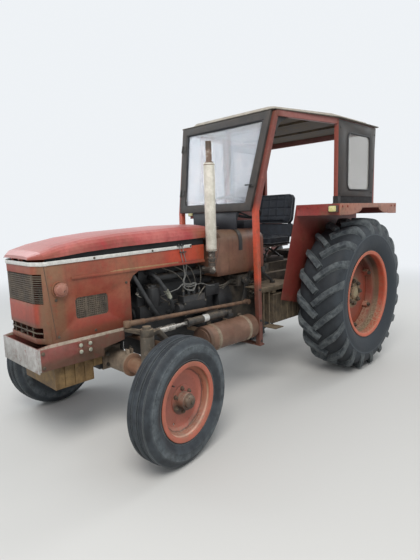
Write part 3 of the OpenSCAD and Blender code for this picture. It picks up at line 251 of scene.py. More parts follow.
def rubber(name, base, dusty, dust=0.55, scale=10):
    """Rubber or leather with dust in clouds and along its edges."""
    f = Finish(name)
    clouds, fine = f.noise(scale, 5, 0.65), f.noise(scale * 14, 4, 0.7)
    color = f.cover(base, dusty, f.range(clouds, 0.3, 0.72), dust)
    color = f.cover(color, dusty, f.edges(0.010, 0.03, 0.2), 0.25)
    color = f.cover(color, darker(base, 0.5), f.range(fine, 0.52, 0.78), 0.35)
    f.bump(fine, 0.25, 0.0012)
    return f.done(color, f.range(clouds, 0.2, 0.8, 0.62, 0.86), 0.0, 0.4)


def glass(name):
    """Clear panes with a dusty sheen, browner in the rear quarters."""
    f = Finish(name)
    smear = f.noise(6, 5, 0.7, stretch=(1, 1, 0.4))
    color = f.mix(f.range(smear, 0.4, 0.7), (140, 148, 162), (176, 172, 178))
    color = f.cover(color, (120, 112, 100), f.span(1, -400, 600))
    return f.done(color, f.range(smear, 0.3, 0.7, 0.04, 0.16), 0.0, 0.6,
                  **{"Transmission Weight": 0.85, "IOR": 1.45, "Alpha": 0.62})


OLIVE = (112, 92, 66)
RED, OLD_RED = (136, 50, 34), (146, 84, 60)
# A finish for every material slot, and for the nodes that need their own: its kind and what that takes
FINISHES = {
    "paint_red": (paint, RED, OLD_RED, 0.8),
    "side_panels": (paint, RED, OLD_RED, 0.8, {"dirt": 0.45}),
    "nose": (paint, RED, OLD_RED, 0.8, {"dirt": 0.45}),
    "bumper_frame": (paint, (132, 58, 54), (142, 94, 86), 0.7),
    "fenders": (paint, (114, 42, 35), (126, 66, 54), 0.7, 0.4, {"dirt": 0.6}),
    "bonnet_paint": (paint, (154, 40, 42), (184, 100, 92), 0.45, 0.62,
                     {"rough": 0.36, "streaks": 0.15, "low_dirt": 0.0, "gloss": 0.2, "dirt": 0.45}),
    "engine_black": (cast, (20, 21, 23), (42, 42, 43), 0.22, 0.6),
    "casting_brown": (cast, (58, 50, 42), (98, 86, 72), 0.45),
    "gearbox": (cast, (42, 38, 34), (78, 70, 60), 0.5),
    "front_weights": (cast, (98, 76, 48), (138, 112, 74), 0.3),
    "front_axle": (cast, (112, 98, 84), (148, 132, 114), 0.35),
    "knuckle": (cast, (62, 57, 50), (98, 88, 74), 0.75),
    "tyre_black": (rubber, (36, 40, 45), (84, 90, 94)),
    "lug_rubber": (rubber, (46, 51, 56), (112, 117, 117), 0.7, 22),
    "trim_metal": (cast, (196, 194, 188), (222, 220, 214), 0.1, 0.5, 0.3, 30),
    "grille_steel": (cast, (56, 48, 42), (104, 92, 78), 0.2, 0.7),
    "tank_rust": (paint, (96, 64, 50), (124, 88, 70), 0.5, 0.2, {"streaks": 0.85}),
    "dark_panel": (cast, (24, 26, 32), (38, 40, 46), 0.1, 0.6, 0.0, 8),
    "silencer": (cast, (188, 182, 168), (216, 211, 198), 0.1, 0.75, 0.0, 20),
    "air_tank_rust": (paint, (106, 72, 56), (138, 108, 90), 0.6, 0.5, {"streaks": 0.3}),
    "box_brown": (cast, (66, 56, 44), (104, 90, 70), 0.45),
    "cab_grey": (cast, (40, 38, 36), (68, 62, 58), 0.15, 0.7, 0.0, 9),
    "cab_red": (paint, (148, 62, 46), (156, 92, 78), 0.6, 0.3),
    "glass": (glass,),
    "roof_grey": (cast, (148, 141, 129), (178, 171, 159), 0.1, 0.85, 0.0, 20),
    "seat_black": (rubber, (26, 29, 35), (70, 76, 86), 0.4, 16),
    "seat_edge": (rubber, (60, 64, 70), (110, 112, 114), 0.6, 20),
    "black_metal": (cast, (30, 30, 32), (58, 55, 51), 0.3, 0.6),
    "ram_body": (cast, (40, 39, 38), (76, 70, 62), 0.4, 0.6),
    "hose_rubber": (rubber, (40, 41, 43), (92, 92, 92), 0.45, 24),
    "seal_rubber": (rubber, (20, 20, 22), (34, 34, 35), 0.3, 24),
    "wire_grey": (rubber, (104, 104, 102), (150, 148, 142), 0.5, 30),
    "strip_tan": (paint, (134, 96, 64), (150, 118, 82), 0.5, 0.3),
    "lamp_body": (cast, (132, 80, 66), (166, 118, 100), 0.2, 0.6),
    "lens_yellow": (cast, (206, 196, 128), (226, 220, 172), 0.05, 0.3, 0.0, 30),
    "bright_steel": (cast, (150, 148, 142), (206, 202, 194), 0.2, 0.35, 0.7, 30),
    "pipe_steel": (cast, (70, 67, 62), (118, 112, 102), 0.2, 0.5, 0.4, 30),
    "pale_bolt": (cast, (140, 142, 126), (184, 184, 166), 0.2, 0.6, 0.1, 40),
    "wheel_black": (rubber, (30, 30, 32), (60, 60, 60), 0.3, 30),
    "rod_rust": (cast, (80, 60, 48), (122, 92, 70), 0.3, 0.75),
}
# Parts of a piece in another colour: each is its spans, the colour and how far it covers. A span is an
# axis, its two ends in millimetres and, where given, how soft they are
REGIONS = {
    "side_panels": [([(1, -2700, -2545, 26)], OLIVE, 0.65), ([(2, 690, 775, 22)], (104, 66, 46), 0.6),
        ([(1, -1800, -1440, 60), (2, 1088, 1220, 5)], (172, 62, 34), 0.9)],
    "nose": [([(0, 196, 260, 12)], OLIVE, 0.7), ([(2, 700, 830, 12)], (108, 76, 54), 0.55),
        ([(2, 836, 930, 8), (0, 0, 190, 8)], (160, 60, 40), 0.7)],
    "bumper_frame": [([(1, -2480, -2150, 40)], (104, 86, 72), 0.8),
        ([(2, 560, 628, 16)], (92, 76, 62), 0.75),
        ([(1, -2712, -2150, 2), (2, 703, 730, 2)], (182, 172, 154), 0.85),
        ([(1, -2760, -2714, 2)], (188, 188, 184), 0.95)],
    "fenders": [([(1, -590, -572, 2), (2, 1366, 1460, 4)], (144, 46, 42), 0.7),
        ([(0, 833, 845, 1)], (164, 112, 90), 0.9), ([(2, 1451.5, 1460, 1)], (158, 116, 98), 0.6)],
    "bonnet_paint": [([(1, -1560, -1280, 60)], (128, 78, 48), 0.6),
        ([(1, -2730, -2560, 40)], (132, 62, 42), 0.75)],
    "front_axle": [([(0, 300, 440, 8)], (124, 76, 48), 0.7),
        ([(2, 560, 800, 30), (0, 400, 520, 5)], (66, 62, 54), 0.85)],
    "tank_rust": [([(1, -1010, -790, 70)], (142, 62, 42), 0.7), ([(2, 1200, 1300, 50)], (98, 82, 64), 0.6)],
    "silencer": [([(2, 900, 1143, 3)], (50, 40, 34), 0.97), ([(2, 1757, 1950, 3)], (96, 70, 54), 0.95),
        ([(2, 1850, 1950, 20)], (50, 40, 34), 0.7)],
    "air_tank_rust": [([(1, -1565, -1533, 2)], (148, 136, 116), 0.9),
        ([(1, -1235, -1203, 2)], (158, 146, 126), 0.9), ([(1, -1660, -1610, 10)], (58, 44, 38), 0.8)],
    "cab_red": [([(2, 1440, 2300, 50)], (98, 52, 46), 0.8),
        ([(2, 880, 1440, 60), (1, -1200, -900, 20)], (192, 72, 44), 0.85),
        ([(2, 300, 860, 60)], (82, 50, 42), 0.9),
        ([(1, -320, 520, 30), (2, 1440, 2100, 20)], (150, 76, 64), 0.85),
        ([(1, -880, 520, 30), (2, 2090, 2200, 8)], (142, 92, 86), 0.85)],
    "roof_grey": [([(2, 2100, 2166, 2)], (74, 68, 60), 0.8)],
    "ram_body": [([(1, -1606, -1556, 2)], (204, 204, 200), 0.95)],
    "lamp_body": [([(0, 700, 900, 5)], (48, 42, 38), 0.9)],
    "rod_rust": [([(1, -2260, -2110, 30)], (128, 104, 82), 0.6)],
}
made_finishes = {}


def finish_of(name):
    """A finish by its name: of the table, or a wheel's own, such as rear_rim_l."""
    if name not in made_finishes:
        if name in FINISHES:
            kind, *looks = FINISHES[name]
            more = looks.pop() if looks and isinstance(looks[-1], dict) else {}
            made_finishes[name] = kind(name, *looks, **more)
        else:
            end, kind, hand = name.split("_")
            made_finishes[name] = (rim_finish if kind == "rim" else tyre_finish)(end, hand)
    return made_finishes[name]


def link(name, data):
    obj = bpy.data.objects.new(name, data)
    bpy.context.scene.collection.objects.link(obj)
    return obj


def soften(obj, width):
    """Welds the CAD mesh and rounds its sharp edges, so that they catch the light."""
    obj.modifiers.new("weld", "WELD").merge_threshold = WELD
    rounded = obj.modifiers.new("bevel", "BEVEL")
    rounded.width = width
    rounded.segments = 2
    rounded.limit_method = "ANGLE"
    rounded.angle_limit = math.radians(SHARP)
    rounded.harden_normals = True
    obj.data.shade_smooth()


# Distance in metres within which points are welded, the angle from which an edge is rounded, and the
# widths of the rounded edges
WELD, SHARP, USUAL_EDGE = 0.00002, 32, 0.0016
EDGE_WIDTH = {"cab_glass": 0.0, "radiator": 0.001, "grille": 0.0, "side_panels": 0.0009, "nose": 0.0009,
              "trim": 0.0009, "bonnet": 0.0, "fenders": 0.0012}


def dress_frame():
    slots = {row["node"]: row["material_slot"] for row in frame["record"]["subparts"]}
    for name, obj in nodes.items():
        own = "knuckle" if name.startswith("knuckle") else name
        has_own = own in FINISHES or own.endswith(("_rim_l", "_rim_r"))
        obj.data.materials.clear()
        obj.data.materials.append(finish_of(own if has_own else slots[name]))
        width = EDGE_WIDTH.get(name, USUAL_EDGE)
        if width:
            soften(obj, width)


# Detail meshes, drawn in millimetres from the rear axle
OUT, UP = (1, 0, 0), (0, 0, 1)


def curved(points, steps=5):
    """A smooth path through the given points."""
    points = [Vector(p) for p in points]
    ends = [2 * points[0] - points[1]] + points + [2 * points[-1] - points[-2]]
    path = []
    for i in range(len(points) - 1):
        a, b, c, d = ends[i:i + 4]
        for k in range(steps):
            t = k / steps
            path.append(0.5 * (2 * b + (c - a) * t + (2 * a - 5 * b + 4 * c - d) * t * t
                               + (3 * b - a - 3 * c + d) * t ** 3))
    return path + [points[-1]]


def around(count, radius=1.0, start=0.0):
    """Pairs of coordinates on a circle, from a first angle in degrees."""
    turns = [math.radians(start + 360 * k / count) for k in range(count)]
    return [(radius * math.cos(t), radius * math.sin(t)) for t in turns]


def ring_of(radius, count, z=0.0):
    return [(x, y, z) for x, y in around(count, radius)]


def facing(place, direction):
    """The turn that lays a flat shape on a surface at a place, with its z along the direction."""
    return Matrix.Translation(place) @ Vector(direction).to_track_quat("Z", "Y").to_matrix().to_4x4()


def rounded_outline(lo, hi, radius, steps=6):
    """Points round a rectangle with round corners."""
    corners = [(hi[0] - radius, hi[1] - radius, 0), (lo[0] + radius, hi[1] - radius, 90),
               (lo[0] + radius, lo[1] + radius, 180), (hi[0] - radius, lo[1] + radius, 270)]
    points = []
    for x, y, start in corners:
        for k in range(steps + 1):
            t = math.radians(start + 90 * k / steps)
            points.append((x + radius * math.cos(t), y + radius * math.sin(t)))
    return points


class Shape:
    """Joined pieces of one mesh; mark chooses which of its finishes the next faces get."""

    def __init__(self):
        self.points = []
        self.faces = []
        self.marks = []
        self.mark = 0

    def add(self, points, faces, turn=None):
        first = len(self.points)
        self.points += [turn @ Vector(p) if turn else Vector(p) for p in points]
        self.faces += [tuple(first + i for i in face) for face in faces]
        self.marks += [self.mark] * len(faces)

    def loft(self, rings, turn=None, looped=False):
        """A skin over rings of equal length."""
        count, levels = len(rings[0]), len(rings)
        faces = [(k * count + i, k * count + (i + 1) % count,
                  (k + 1) % levels * count + (i + 1) % count, (k + 1) % levels * count + i)
                 for k in range(levels if looped else levels - 1) for i in range(count)]
        if not looped:
            faces.append(tuple(reversed(range(count))))
            faces.append(tuple((levels - 1) * count + i for i in range(count)))
        self.add([p for ring in rings for p in ring], faces, turn)

    def lathe(self, profile, turn=None, count=64):
        """A closed profile of radius and place along X, turned about X."""
        self.loft([[(x, r * y, r * z) for r, x in profile] for y, z in around(count)], turn, looped=True)

    def tube(self, path, radius, sides=8, looped=False):
        path = [Vector(p) for p in path]
        last = len(path) - 1
        normal = None
        rings = []
        for i, place in enumerate(path):
            if looped:
                ahead = (path[(i + 1) % len(path)] - path[i - 1]).normalized()
            else:
                ahead = (path[min(i + 1, last)] - path[max(i - 1, 0)]).normalized()
            normal = ahead.orthogonal() if normal is None else normal
            normal = (normal - ahead * normal.dot(ahead)).normalized()
            side = ahead.cross(normal)
            rings.append([place + normal * a + side * b for a, b in around(sides, radius)])
        self.loft(rings, looped=looped)

    def box(self, lo, hi, turn=None):
        corners = ((lo[0], lo[1]), (hi[0], lo[1]), (hi[0], hi[1]), (lo[0], hi[1]))
        self.loft([[(x, y, z) for x, y in corners] for z in (lo[2], hi[2])], turn)

    def disc(self, place, direction, radius, height, count=20, crown=0.0):
        """A round plate on a surface, with a domed top where crown is given."""
        turn = facing(place, direction)
        rings = [ring_of(radius, count), ring_of(radius, count, height)]
        for share in (0.9, 0.6, 0.2):
            if crown:
                rings.append(ring_of(radius * share, count, height + crown * math.sqrt(1 - share * share)))
        self.loft(rings, turn)

    def bolt(self, place, direction, across=17, height=8, washer=True, stud=0):
        """A hexagon head or nut on its washer, with the stud's end where one shows."""
        turn = facing(place, direction)
        corner, rim, shank = across / math.sqrt(3), across * 0.66, across * 0.29
        base = across * 0.1 if washer else 0.0
        top = base + height
        if washer:
            self.loft([ring_of(rim, 16), ring_of(rim, 16, base)], turn)
        self.loft([ring_of(corner, 6, base), ring_of(corner, 6, base + height * 0.82),
                   ring_of(corner * 0.84, 6, top)], turn)
        if stud:
            self.loft([ring_of(shank, 12, base), ring_of(shank, 12, top + stud),
                       ring_of(across * 0.22, 12, top + stud + 1.5)], turn)

    def bolts(self, places, *size, **more):
        for place in places:
            self.bolt(place, *size, **more)

    def mirror(self):
        """Repeats everything drawn so far on the other side."""
        count = len(self.points)
        self.points += [Vector((-p.x, p.y, p.z)) for p in self.points]
        self.faces += [tuple(i + count for i in reversed(face)) for face in self.faces]
        self.marks += self.marks

    def build(self, name, slot, finish=None, body="chassis", replaces=(), width=0.0, angle=38):
        """Makes the object; finish names its finishes, by mark, where they aren't the slot's own."""
        mesh = bpy.data.meshes.new(name)
        mesh.from_pydata([at(*p) for p in self.points], [], self.faces)
        work = bmesh.new()
        work.from_mesh(mesh)
        bmesh.ops.recalc_face_normals(work, faces=work.faces)
        work.to_mesh(mesh)
        work.free()
        for made in finish if isinstance(finish, tuple) else (finish or slot,):
            mesh.materials.append(finish_of(made))
        mesh.polygons.foreach_set("material_index", self.marks)
        obj = link(name, mesh)
        mesh.shade_smooth()
        mesh.set_sharp_from_angle(angle=math.radians(angle))
        if width:
            soften(obj, width)
        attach(obj, body)
        if replaces:
            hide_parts(*replaces)


# Wheels: places in a wheel's own frame, x outwards from its middle plane
REAR_WHEEL_X, REAR_RADIUS = 655, 667
FRONT_WHEEL_X, FRONT_RADIUS = 700, 365
KINGPIN_X, FRONT_Y, STEER_PARK = 460, -2165, 8.5
LUGS = 20
LUG_ANGLE = math.radians(38)
LUG_FOOT, LUG_FACE, LUG_BEND, LUG_DROP = 25, 20.5, 9, 3
TREAD_HALF = 188
# Across a lug: distance from its middle line, which radius of LUG_RUN it takes, and how far below it lies
LUG_SECTION = ((-LUG_FOOT, 2, 0), (-LUG_FACE, 1, LUG_DROP), (2 - LUG_FACE, 1, 0), (0, 1, -0.4),
               (LUG_FACE - 2, 1, 0), (LUG_FACE, 1, LUG_DROP), (LUG_FOOT, 2, 0))
# A lug's section by its place across the tyre: radius of its face, radius of its foot
LUG_RUN = [(-30, 666.3, 627), (72, 665.4, 626), (102, 664, 622), (126, 662, 616), (145, 659, 606),
           (158, 650, 594), (168, 636, 580), (176, 616, 562), (182, 592, 545), (188, 556, 520)]
LUG_STATIONS = (-10, 12, 42, 72, 102, 126, 145, 158, 168, 176, 184, 191, 197, 202)
# Half sections of the tyres from the bead to the crown: radius and distance from the middle plane
REAR_SECTION = [(356, 138), (362, 147), (372, 151), (381, 154), (387, 152), (394, 158), (412, 169),
                (440, 180), (476, 187.5), (498, 188.6), (512, 187.6), (517, 189.2), (522, 189.2),
                (527, 187.2), (548, 183.5), (560, 181), (585, 171), (604, 157), (618, 137), (627, 108),
                (632, 70), (633, 28)]
FRONT_SECTION = [(203.4, 46), (213, 52), (223, 57.5), (230, 62), (235, 64.5), (238, 62.5), (243, 67),
                 (262, 78.5), (276, 83.5), (279, 85.4), (283, 85.4), (286, 84.2), (300, 85), (312, 83),
                 (315, 84), (319, 83.6), (322, 80.5), (335, 75.5), (345, 68), (352, 60.5), (355, 56),
                 (361, 55), (362, 50), (362, 35), (360, 32.5), (354, 31), (353, 28), (353, 17), (355, 14),
                 (363, 12.5), (365, 10)]


def wheel_turn(side, front):
    mirror = Matrix.Diagonal((side, 1, 1, 1))
    if not front:
        return Matrix.Translation((side * REAR_WHEEL_X, 0, REAR_RADIUS)) @ mirror
    steer = Matrix.Rotation(math.radians(STEER_PARK), 4, "Z")
    return (Matrix.Translation((side * KINGPIN_X, FRONT_Y, 0)) @ steer
            @ Matrix.Translation((side * (FRONT_WHEEL_X - KINGPIN_X), 0, FRONT_RADIUS)) @ mirror)


def bands(f, value, stops, base):
    """Bands of colour along a value: each stop is where a colour starts and how soft its edge is."""
    color = base
    for start, soft, tone in stops:
        color = f.mix(f.range(value, start - soft, start + soft), color, tone)
    return color


def wheel_place(f, end, hand):
    """Coordinates in a wheel's own frame, with the distance from its axis."""
    turn = wheel_turn(1 if hand == "l" else -1, end == "front")
    own = f.run("ShaderNodeMapping", {
        "Vector": f.place, "Location": at(*turn.translation), "Scale": (1 if hand == "l" else -1, 1, 1),
        "Rotation": (0, 0, math.radians(STEER_PARK) if end == "front" else 0)}, vector_type="TEXTURE")
    x, y, z = (f.axis(i, own) for i in range(3))
    return x, z, f.math("SQRT", f.math("ADD", f.times(y, y), f.times(z, z)))


def tyre_finish(end, hand):
    """Old rubber: a darker smooth wall at the rear, and the front tyre's worn pale ring."""
    f = Finish(end + "_tyre_" + hand)
    radius = wheel_place(f, end, hand)[2]
    clouds, fine = f.noise(9, 5, 0.65), f.noise(120, 4, 0.7)
    color = f.mix(f.range(clouds, 0.34, 0.70, 0.0, 0.6), (34, 38, 43), (72, 79, 84))
    if end == "rear":
        color = f.mix(f.range(radius, 0.53, 0.56, 0.75, 0.0), color, (44, 50, 56))
        color = f.mix(f.range(radius, 0.56, 0.62, 0.0, 0.55), color, (30, 32, 35))
        line = f.times(f.range(radius, 0.512, 0.516), f.range(radius, 0.523, 0.527, 1.0, 0.0))
        color = f.cover(color, (90, 97, 102), line, 0.35)
    else:
        ring = f.times(f.range(radius, 0.262, 0.306), f.range(radius, 0.312, 0.336, 1.0, 0.0))
        scuffed = f.range(f.noise(22, 5, 0.75), 0.25, 0.8)
        color = f.cover(color, (112, 119, 122), f.times(ring, scuffed), 0.8)
    color = f.cover(color, (118, 122, 121), f.edges(0.009, 0.02, 0.16), 0.6)
    color = f.mix(f.range(fine, 0.54, 0.78, 0.0, 0.4), color, (20, 22, 25))
    f.bump(fine, 0.3, 0.0012)
    return f.done(color, f.range(clouds, 0.2, 0.8, 0.55, 0.8), 0.0, 0.4)


def rim_finish(end, hand):
    """Worn wheel paint in rings about the wheel's own axis, with painted shade over the upper part of the
    rear rim and painted light and shade on the front rim's barrel.
    """
    f = Finish(end + "_rim_" + hand)
    x, z, radius = wheel_place(f, end, hand)
    shifted = f.math("ADD", radius, f.times(f.noise(9, 4, 0.7), 0.02))
    fine, patchy = f.noise(60, 4, 0.7), f.noise(7, 5, 0.65)
    if end == "rear":
        disc = bands(f, shifted, [(0.052, 0.004, (132, 116, 90)), (0.150, 0.02, (146, 78, 62)),
                                  (0.262, 0.02, (150, 70, 50)), (0.318, 0.012, (126, 58, 44))],
                     (156, 144, 112))
        barrel = bands(f, x, [(0.010, 0.006, (118, 64, 50)), (0.046, 0.010, (98, 76, 58)),
                              (0.094, 0.008, (158, 60, 38)), (0.140, 0.006, (184, 78, 52)),
                              (0.153, 0.003, (198, 102, 76))], (92, 62, 48))
        color = f.mix(f.range(radius, 0.322, 0.330), disc, barrel)
        # painted shade: the upper part of the dished rear rim darkened
        shade = f.times(f.range(z, 0.02, 0.30), f.range(x, 0.112, 0.100))
        color = f.cover(color, (50, 32, 26), shade, 0.8)
        dust = (178, 168, 138)
    else:
        disc = bands(f, shifted, [(0.060, 0.006, (158, 92, 78)), (0.150, 0.014, (172, 100, 84)),
                                  (0.182, 0.004, (84, 46, 38)), (0.188, 0.003, (150, 88, 66))],
                     (92, 78, 66))
        # painted light and shade: the barrel lit pale at the bottom and shaded darker towards the top
        barrel = bands(f, z, [(-0.05, 0.08, (160, 128, 100)), (0.06, 0.07, (124, 72, 50))],
                       (208, 160, 140))
        barrel = f.mix(f.range(x, 0.050, 0.058), barrel, (178, 98, 78))
        color = f.mix(f.range(radius, 0.190, 0.196), disc, barrel)
        hub = f.times(f.range(x, 0.008, 0.014), f.range(radius, 0.09, 0.098, 1.0, 0.0))
        dust = (150, 140, 122)
        color = f.mix(f.times(hub, f.range(z, -0.02, 0.03, 1.0, 0.0)), color, (56, 48, 42))
    color = f.cover(color, (128, 92, 70), f.range(patchy, 0.40, 0.66), 0.42)
    rusty = f.times(f.range(fine, 0.56, 0.68), f.range(patchy, 0.3, 0.6, 1.0, 0.35))
    color = f.cover(color, (98, 52, 36), rusty, 0.6)
    pale = f.times(f.facing_up(0.1, 0.8), f.range(fine, 0.35, 0.6))
    color = f.cover(color, dust, pale, 0.45)
    color = f.cover(color, (196, 132, 106), f.edges(0.005), 0.4)
    f.bump(f.math("ADD", fine, patchy), 0.25, 0.0012)
    return f.done(color, 0.62)


def whole(section):
    """Both halves of a tyre's section."""
    return section + [(r, -x) for r, x in reversed(section)]


def lug_radius(x, column):
    """Radius of a lug's face or foot at a place across the tyre."""
    for low, high in zip(LUG_RUN, LUG_RUN[1:]):
        if x <= high[0]:
            share = (x - low[0]) / (high[0] - low[0])
            return low[column] + (high[column] - low[column]) * share
    return LUG_RUN[-1][column]


def lug_rings():
    """Sections of one lug, from the middle of the tread out to the shoulder."""
    across = Vector((-math.sin(LUG_ANGLE), math.cos(LUG_ANGLE)))
    rings = []
    for k, x in enumerate(LUG_STATIONS):
        bend = LUG_BEND * math.sin(math.pi * max(x, 0) / TREAD_HALF) + max(0, k - 9) * 3
        middle = Vector((x, x * math.tan(LUG_ANGLE) + bend))
        ring = []
        for half, column, drop in LUG_SECTION:
            place = middle + across * half
            radius = lug_radius(place.x, column) - drop
            ring.append((min(place.x, TREAD_HALF), place.y, math.sqrt(radius * radius - place.y * place.y)))
        rings.append(ring)
    return rings


def wheel_circle(turn, count, x, radius):
    """Places round a wheel at a distance from its middle plane."""
    spins = [Matrix.Rotation(2 * math.pi * i / count, 4, "X") for i in range(count)]
    return [turn @ spin @ Vector((x, 0, radius)) for spin in spins]


def make_rear_wheel(side, hand):
    turn = wheel_turn(side, False)
    body = "rear_wheel_" + hand
    outward = (side, 0, 0)
    tyre = Shape()
    tyre.lathe(whole(REAR_SECTION), turn, 120)
    tyre.mark = 1
    for i in range(LUGS):
        for face, shift in ((1, 0), (-1, 0.5)):
            spin = Matrix.Rotation((i + shift) * 2 * math.pi / LUGS, 4, "X")
            tyre.loft(lug_rings(), turn @ spin @ Matrix.Diagonal((face, 1, 1, 1)))
    tyre.build("rear_tread_" + hand, "tyre_black", ("rear_tyre_" + hand, "lug_rubber"), body,
               ["rear_tyre_" + hand], angle=40)
    nuts = Shape()
    nuts.bolts(wheel_circle(turn, 8, 14, 100), outward, 33, 17, stud=7)
    nuts.bolts(wheel_circle(turn, 6, 26, 300), outward, 30, 15, stud=6)
    nuts.build("rear_wheel_nuts_" + hand, "casting_brown", body=body)
    trims = Shape()
    # rolled edge inside the flange, and the ring welded round the disc
    for radius, x, thick in ((352, 148, 4), (322, -14, 5)):
        trims.lathe([(radius + a, x + b) for a, b in around(6, thick)], turn, 96)
    # valve
    trims.tube([turn @ Vector(p) for p in ((60, 0, 322), (78, 2, 318), (100, 6, 312), (112, 8, 309))], 5)
    trims.build("rear_rim_trim_" + hand, "rim_paint", "rear_rim_" + hand, body)


def make_front_wheel(side, hand):
    turn = wheel_turn(side, True)
    body = "front_wheel_" + hand
    outward = (turn.to_3x3() @ Vector(OUT)).normalized()
    tyre = Shape()
    tyre.lathe(whole(FRONT_SECTION), turn, 128)
    tyre.build("front_tread_" + hand, "tyre_black", "front_tyre_" + hand, body,
               ["front_tyre_" + hand], angle=40)
    nuts = Shape()
    nuts.bolts(wheel_circle(turn, 6, 12, 68), outward, 21, 10, stud=4)
    # cover screws, set between the nuts
    nuts.bolts(wheel_circle(turn @ Matrix.Rotation(0.5, 4, "X"), 6, 76, 30), outward, 10, 5, washer=False)
    nuts.bolt(turn @ Vector((84, 0, 0)), outward, 22)
    nuts.build("front_wheel_nuts_" + hand, "casting_brown", body=body)
    valve = Shape()
    valve.tube([turn @ Vector(p) for p in ((34, -120, 132), (48, -119, 130), (62, -116, 128))], 4)
    valve.build("front_valve_" + hand, "black_metal", body=body)


# Seat
SEAT_Y, PAN_Z = -430, 1122.3
SEAT_HALF, CUSHION_H, BACK_T = 215, 80, 70
CHANNELS_X, BACK_CHANNELS = (-129, -43, 43, 129), (115, 190, 265)
CHANNEL_W, PIPING_R = 5, 3.2
# The cover's simulation, lengths in metres
SWELL_FRAMES, SWELL_CAP, CHANNEL_DEPTH, VOXEL = 20, 0.014, 0.008, 0.0055
CLOTH = {"quality": 4, "mass": 0.25, "tension_stiffness": 12, "compression_stiffness": 12,
         "use_pressure": True, "uniform_pressure_force": 4.0}
BACK_TURN = Matrix.Translation((0, SEAT_Y + 170, 1240)) @ Matrix.Rotation(math.radians(80), 4, "X")


def swell(obj):
    """Runs the cloth simulation and keeps its result in the mesh, with no point moved past the cap."""
    scene = bpy.context.scene
    cloth = obj.modifiers.new("cloth", "CLOTH")
    for key, value in CLOTH.items():
        setattr(cloth.settings, key, value)
    cloth.settings.effector_weights.gravity = 0
    cloth.point_cache.frame_start = 1
    cloth.point_cache.frame_end = SWELL_FRAMES
    for number in range(1, SWELL_FRAMES + 1):
        scene.frame_set(number)
    moved = [v.co.copy() for v in obj.evaluated_get(bpy.context.evaluated_depsgraph_get()).data.vertices]
    obj.modifiers.remove(cloth)
    scene.frame_set(1)
    for vertex, place in zip(obj.data.vertices, moved):
        step = place - vertex.co
        if step.length > SWELL_CAP:
            step *= SWELL_CAP / step.length
        vertex.co += step


def sew(dense, lo, hi, lines_x, lines_y):
    """Keeps the swollen cover in its space and presses the sewn channels into it."""
    middle = (lo[2] + hi[2]) / 2 * MM
    for vertex in dense.vertices:
        c = vertex.co
        c.x = min(max(c.x, (lo[0] - 3) * MM), (hi[0] + 3) * MM)
        c.y = min(max(c.y, (lo[1] - 3) * MM), (hi[1] + 3) * MM)
        c.z = min(max(c.z, lo[2] * MM), (hi[2] + 4) * MM)
        if c.z > middle:
            sewn = sum(math.exp(-((c.x / MM - x) / CHANNEL_W) ** 2) for x in lines_x)
            sewn += sum(math.exp(-((c.y / MM - y) / CHANNEL_W) ** 2) for y in lines_y)
            c.z -= CHANNEL_DEPTH * min(sewn, 1.0)


def add_piping(name, dense, turn, lo, hi, corner):
    """Piping round the top and bottom edges, laid on the swollen cover."""
    tree = kdtree.KDTree(len(dense.vertices))
    for vertex in dense.vertices:
        tree.insert(vertex.co, vertex.index)
    tree.balance()
    for level, name_end in ((hi[2] - 12, "top"), (lo[2] + 8, "low")):
        outline = rounded_outline(lo, hi, corner, 10)
        route = [tree.find(Vector((x, y, level)) * MM)[0] / MM for x, y in outline]
        smooth = [(route[i - 1] + route[i] * 2 + route[(i + 1) % len(route)]) / 4 for i in range(len(route))]
        piping = Shape()
        piping.tube([turn @ p for p in smooth], PIPING_R, looped=True)
        piping.build(name + "_piping_" + name_end, "seat_black", "seat_edge")


def make_pad(name, node, turn, lo, hi, corner, lines_x, lines_y):
    """A padded cushion: a rounded block, remeshed, swollen, then sewn along its channels."""
    shape = Shape()
    deep = hi[2] - lo[2]
    levels = [(0, 17), (6, 10), (16, 8), (deep - 30, 8), (deep - 18, 11), (deep - 10, 18)]
    shape.loft([[(x, y, lo[2] + rise + 1) for x, y in rounded_outline(
        (lo[0] + inset, lo[1] + inset), (hi[0] - inset, hi[1] - inset), corner)] for rise, inset in levels])
    mesh = bpy.data.meshes.new(name)
    mesh.from_pydata([p * MM for p in shape.points], [], shape.faces)
    obj = link(name, mesh)
    remesh = obj.modifiers.new("remesh", "REMESH")
    remesh.mode = "VOXEL"
    remesh.voxel_size = VOXEL
    dense = bpy.data.meshes.new_from_object(obj.evaluated_get(bpy.context.evaluated_depsgraph_get()))
    obj.modifiers.clear()
    obj.data = dense
    swell(obj)
    sew(dense, lo, hi, lines_x, lines_y)
    add_piping(name, dense, turn, lo, hi, corner)
    for vertex in dense.vertices:
        vertex.co = at(*(turn @ (vertex.co / MM)))
    smooth = obj.modifiers.new("subdivision", "SUBSURF")
    smooth.levels = smooth.render_levels = 1
    dense.shade_smooth()
    dense.materials.clear()
    dense.materials.append(finish_of("seat_black"))
    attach(obj, "chassis")
    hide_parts(node)


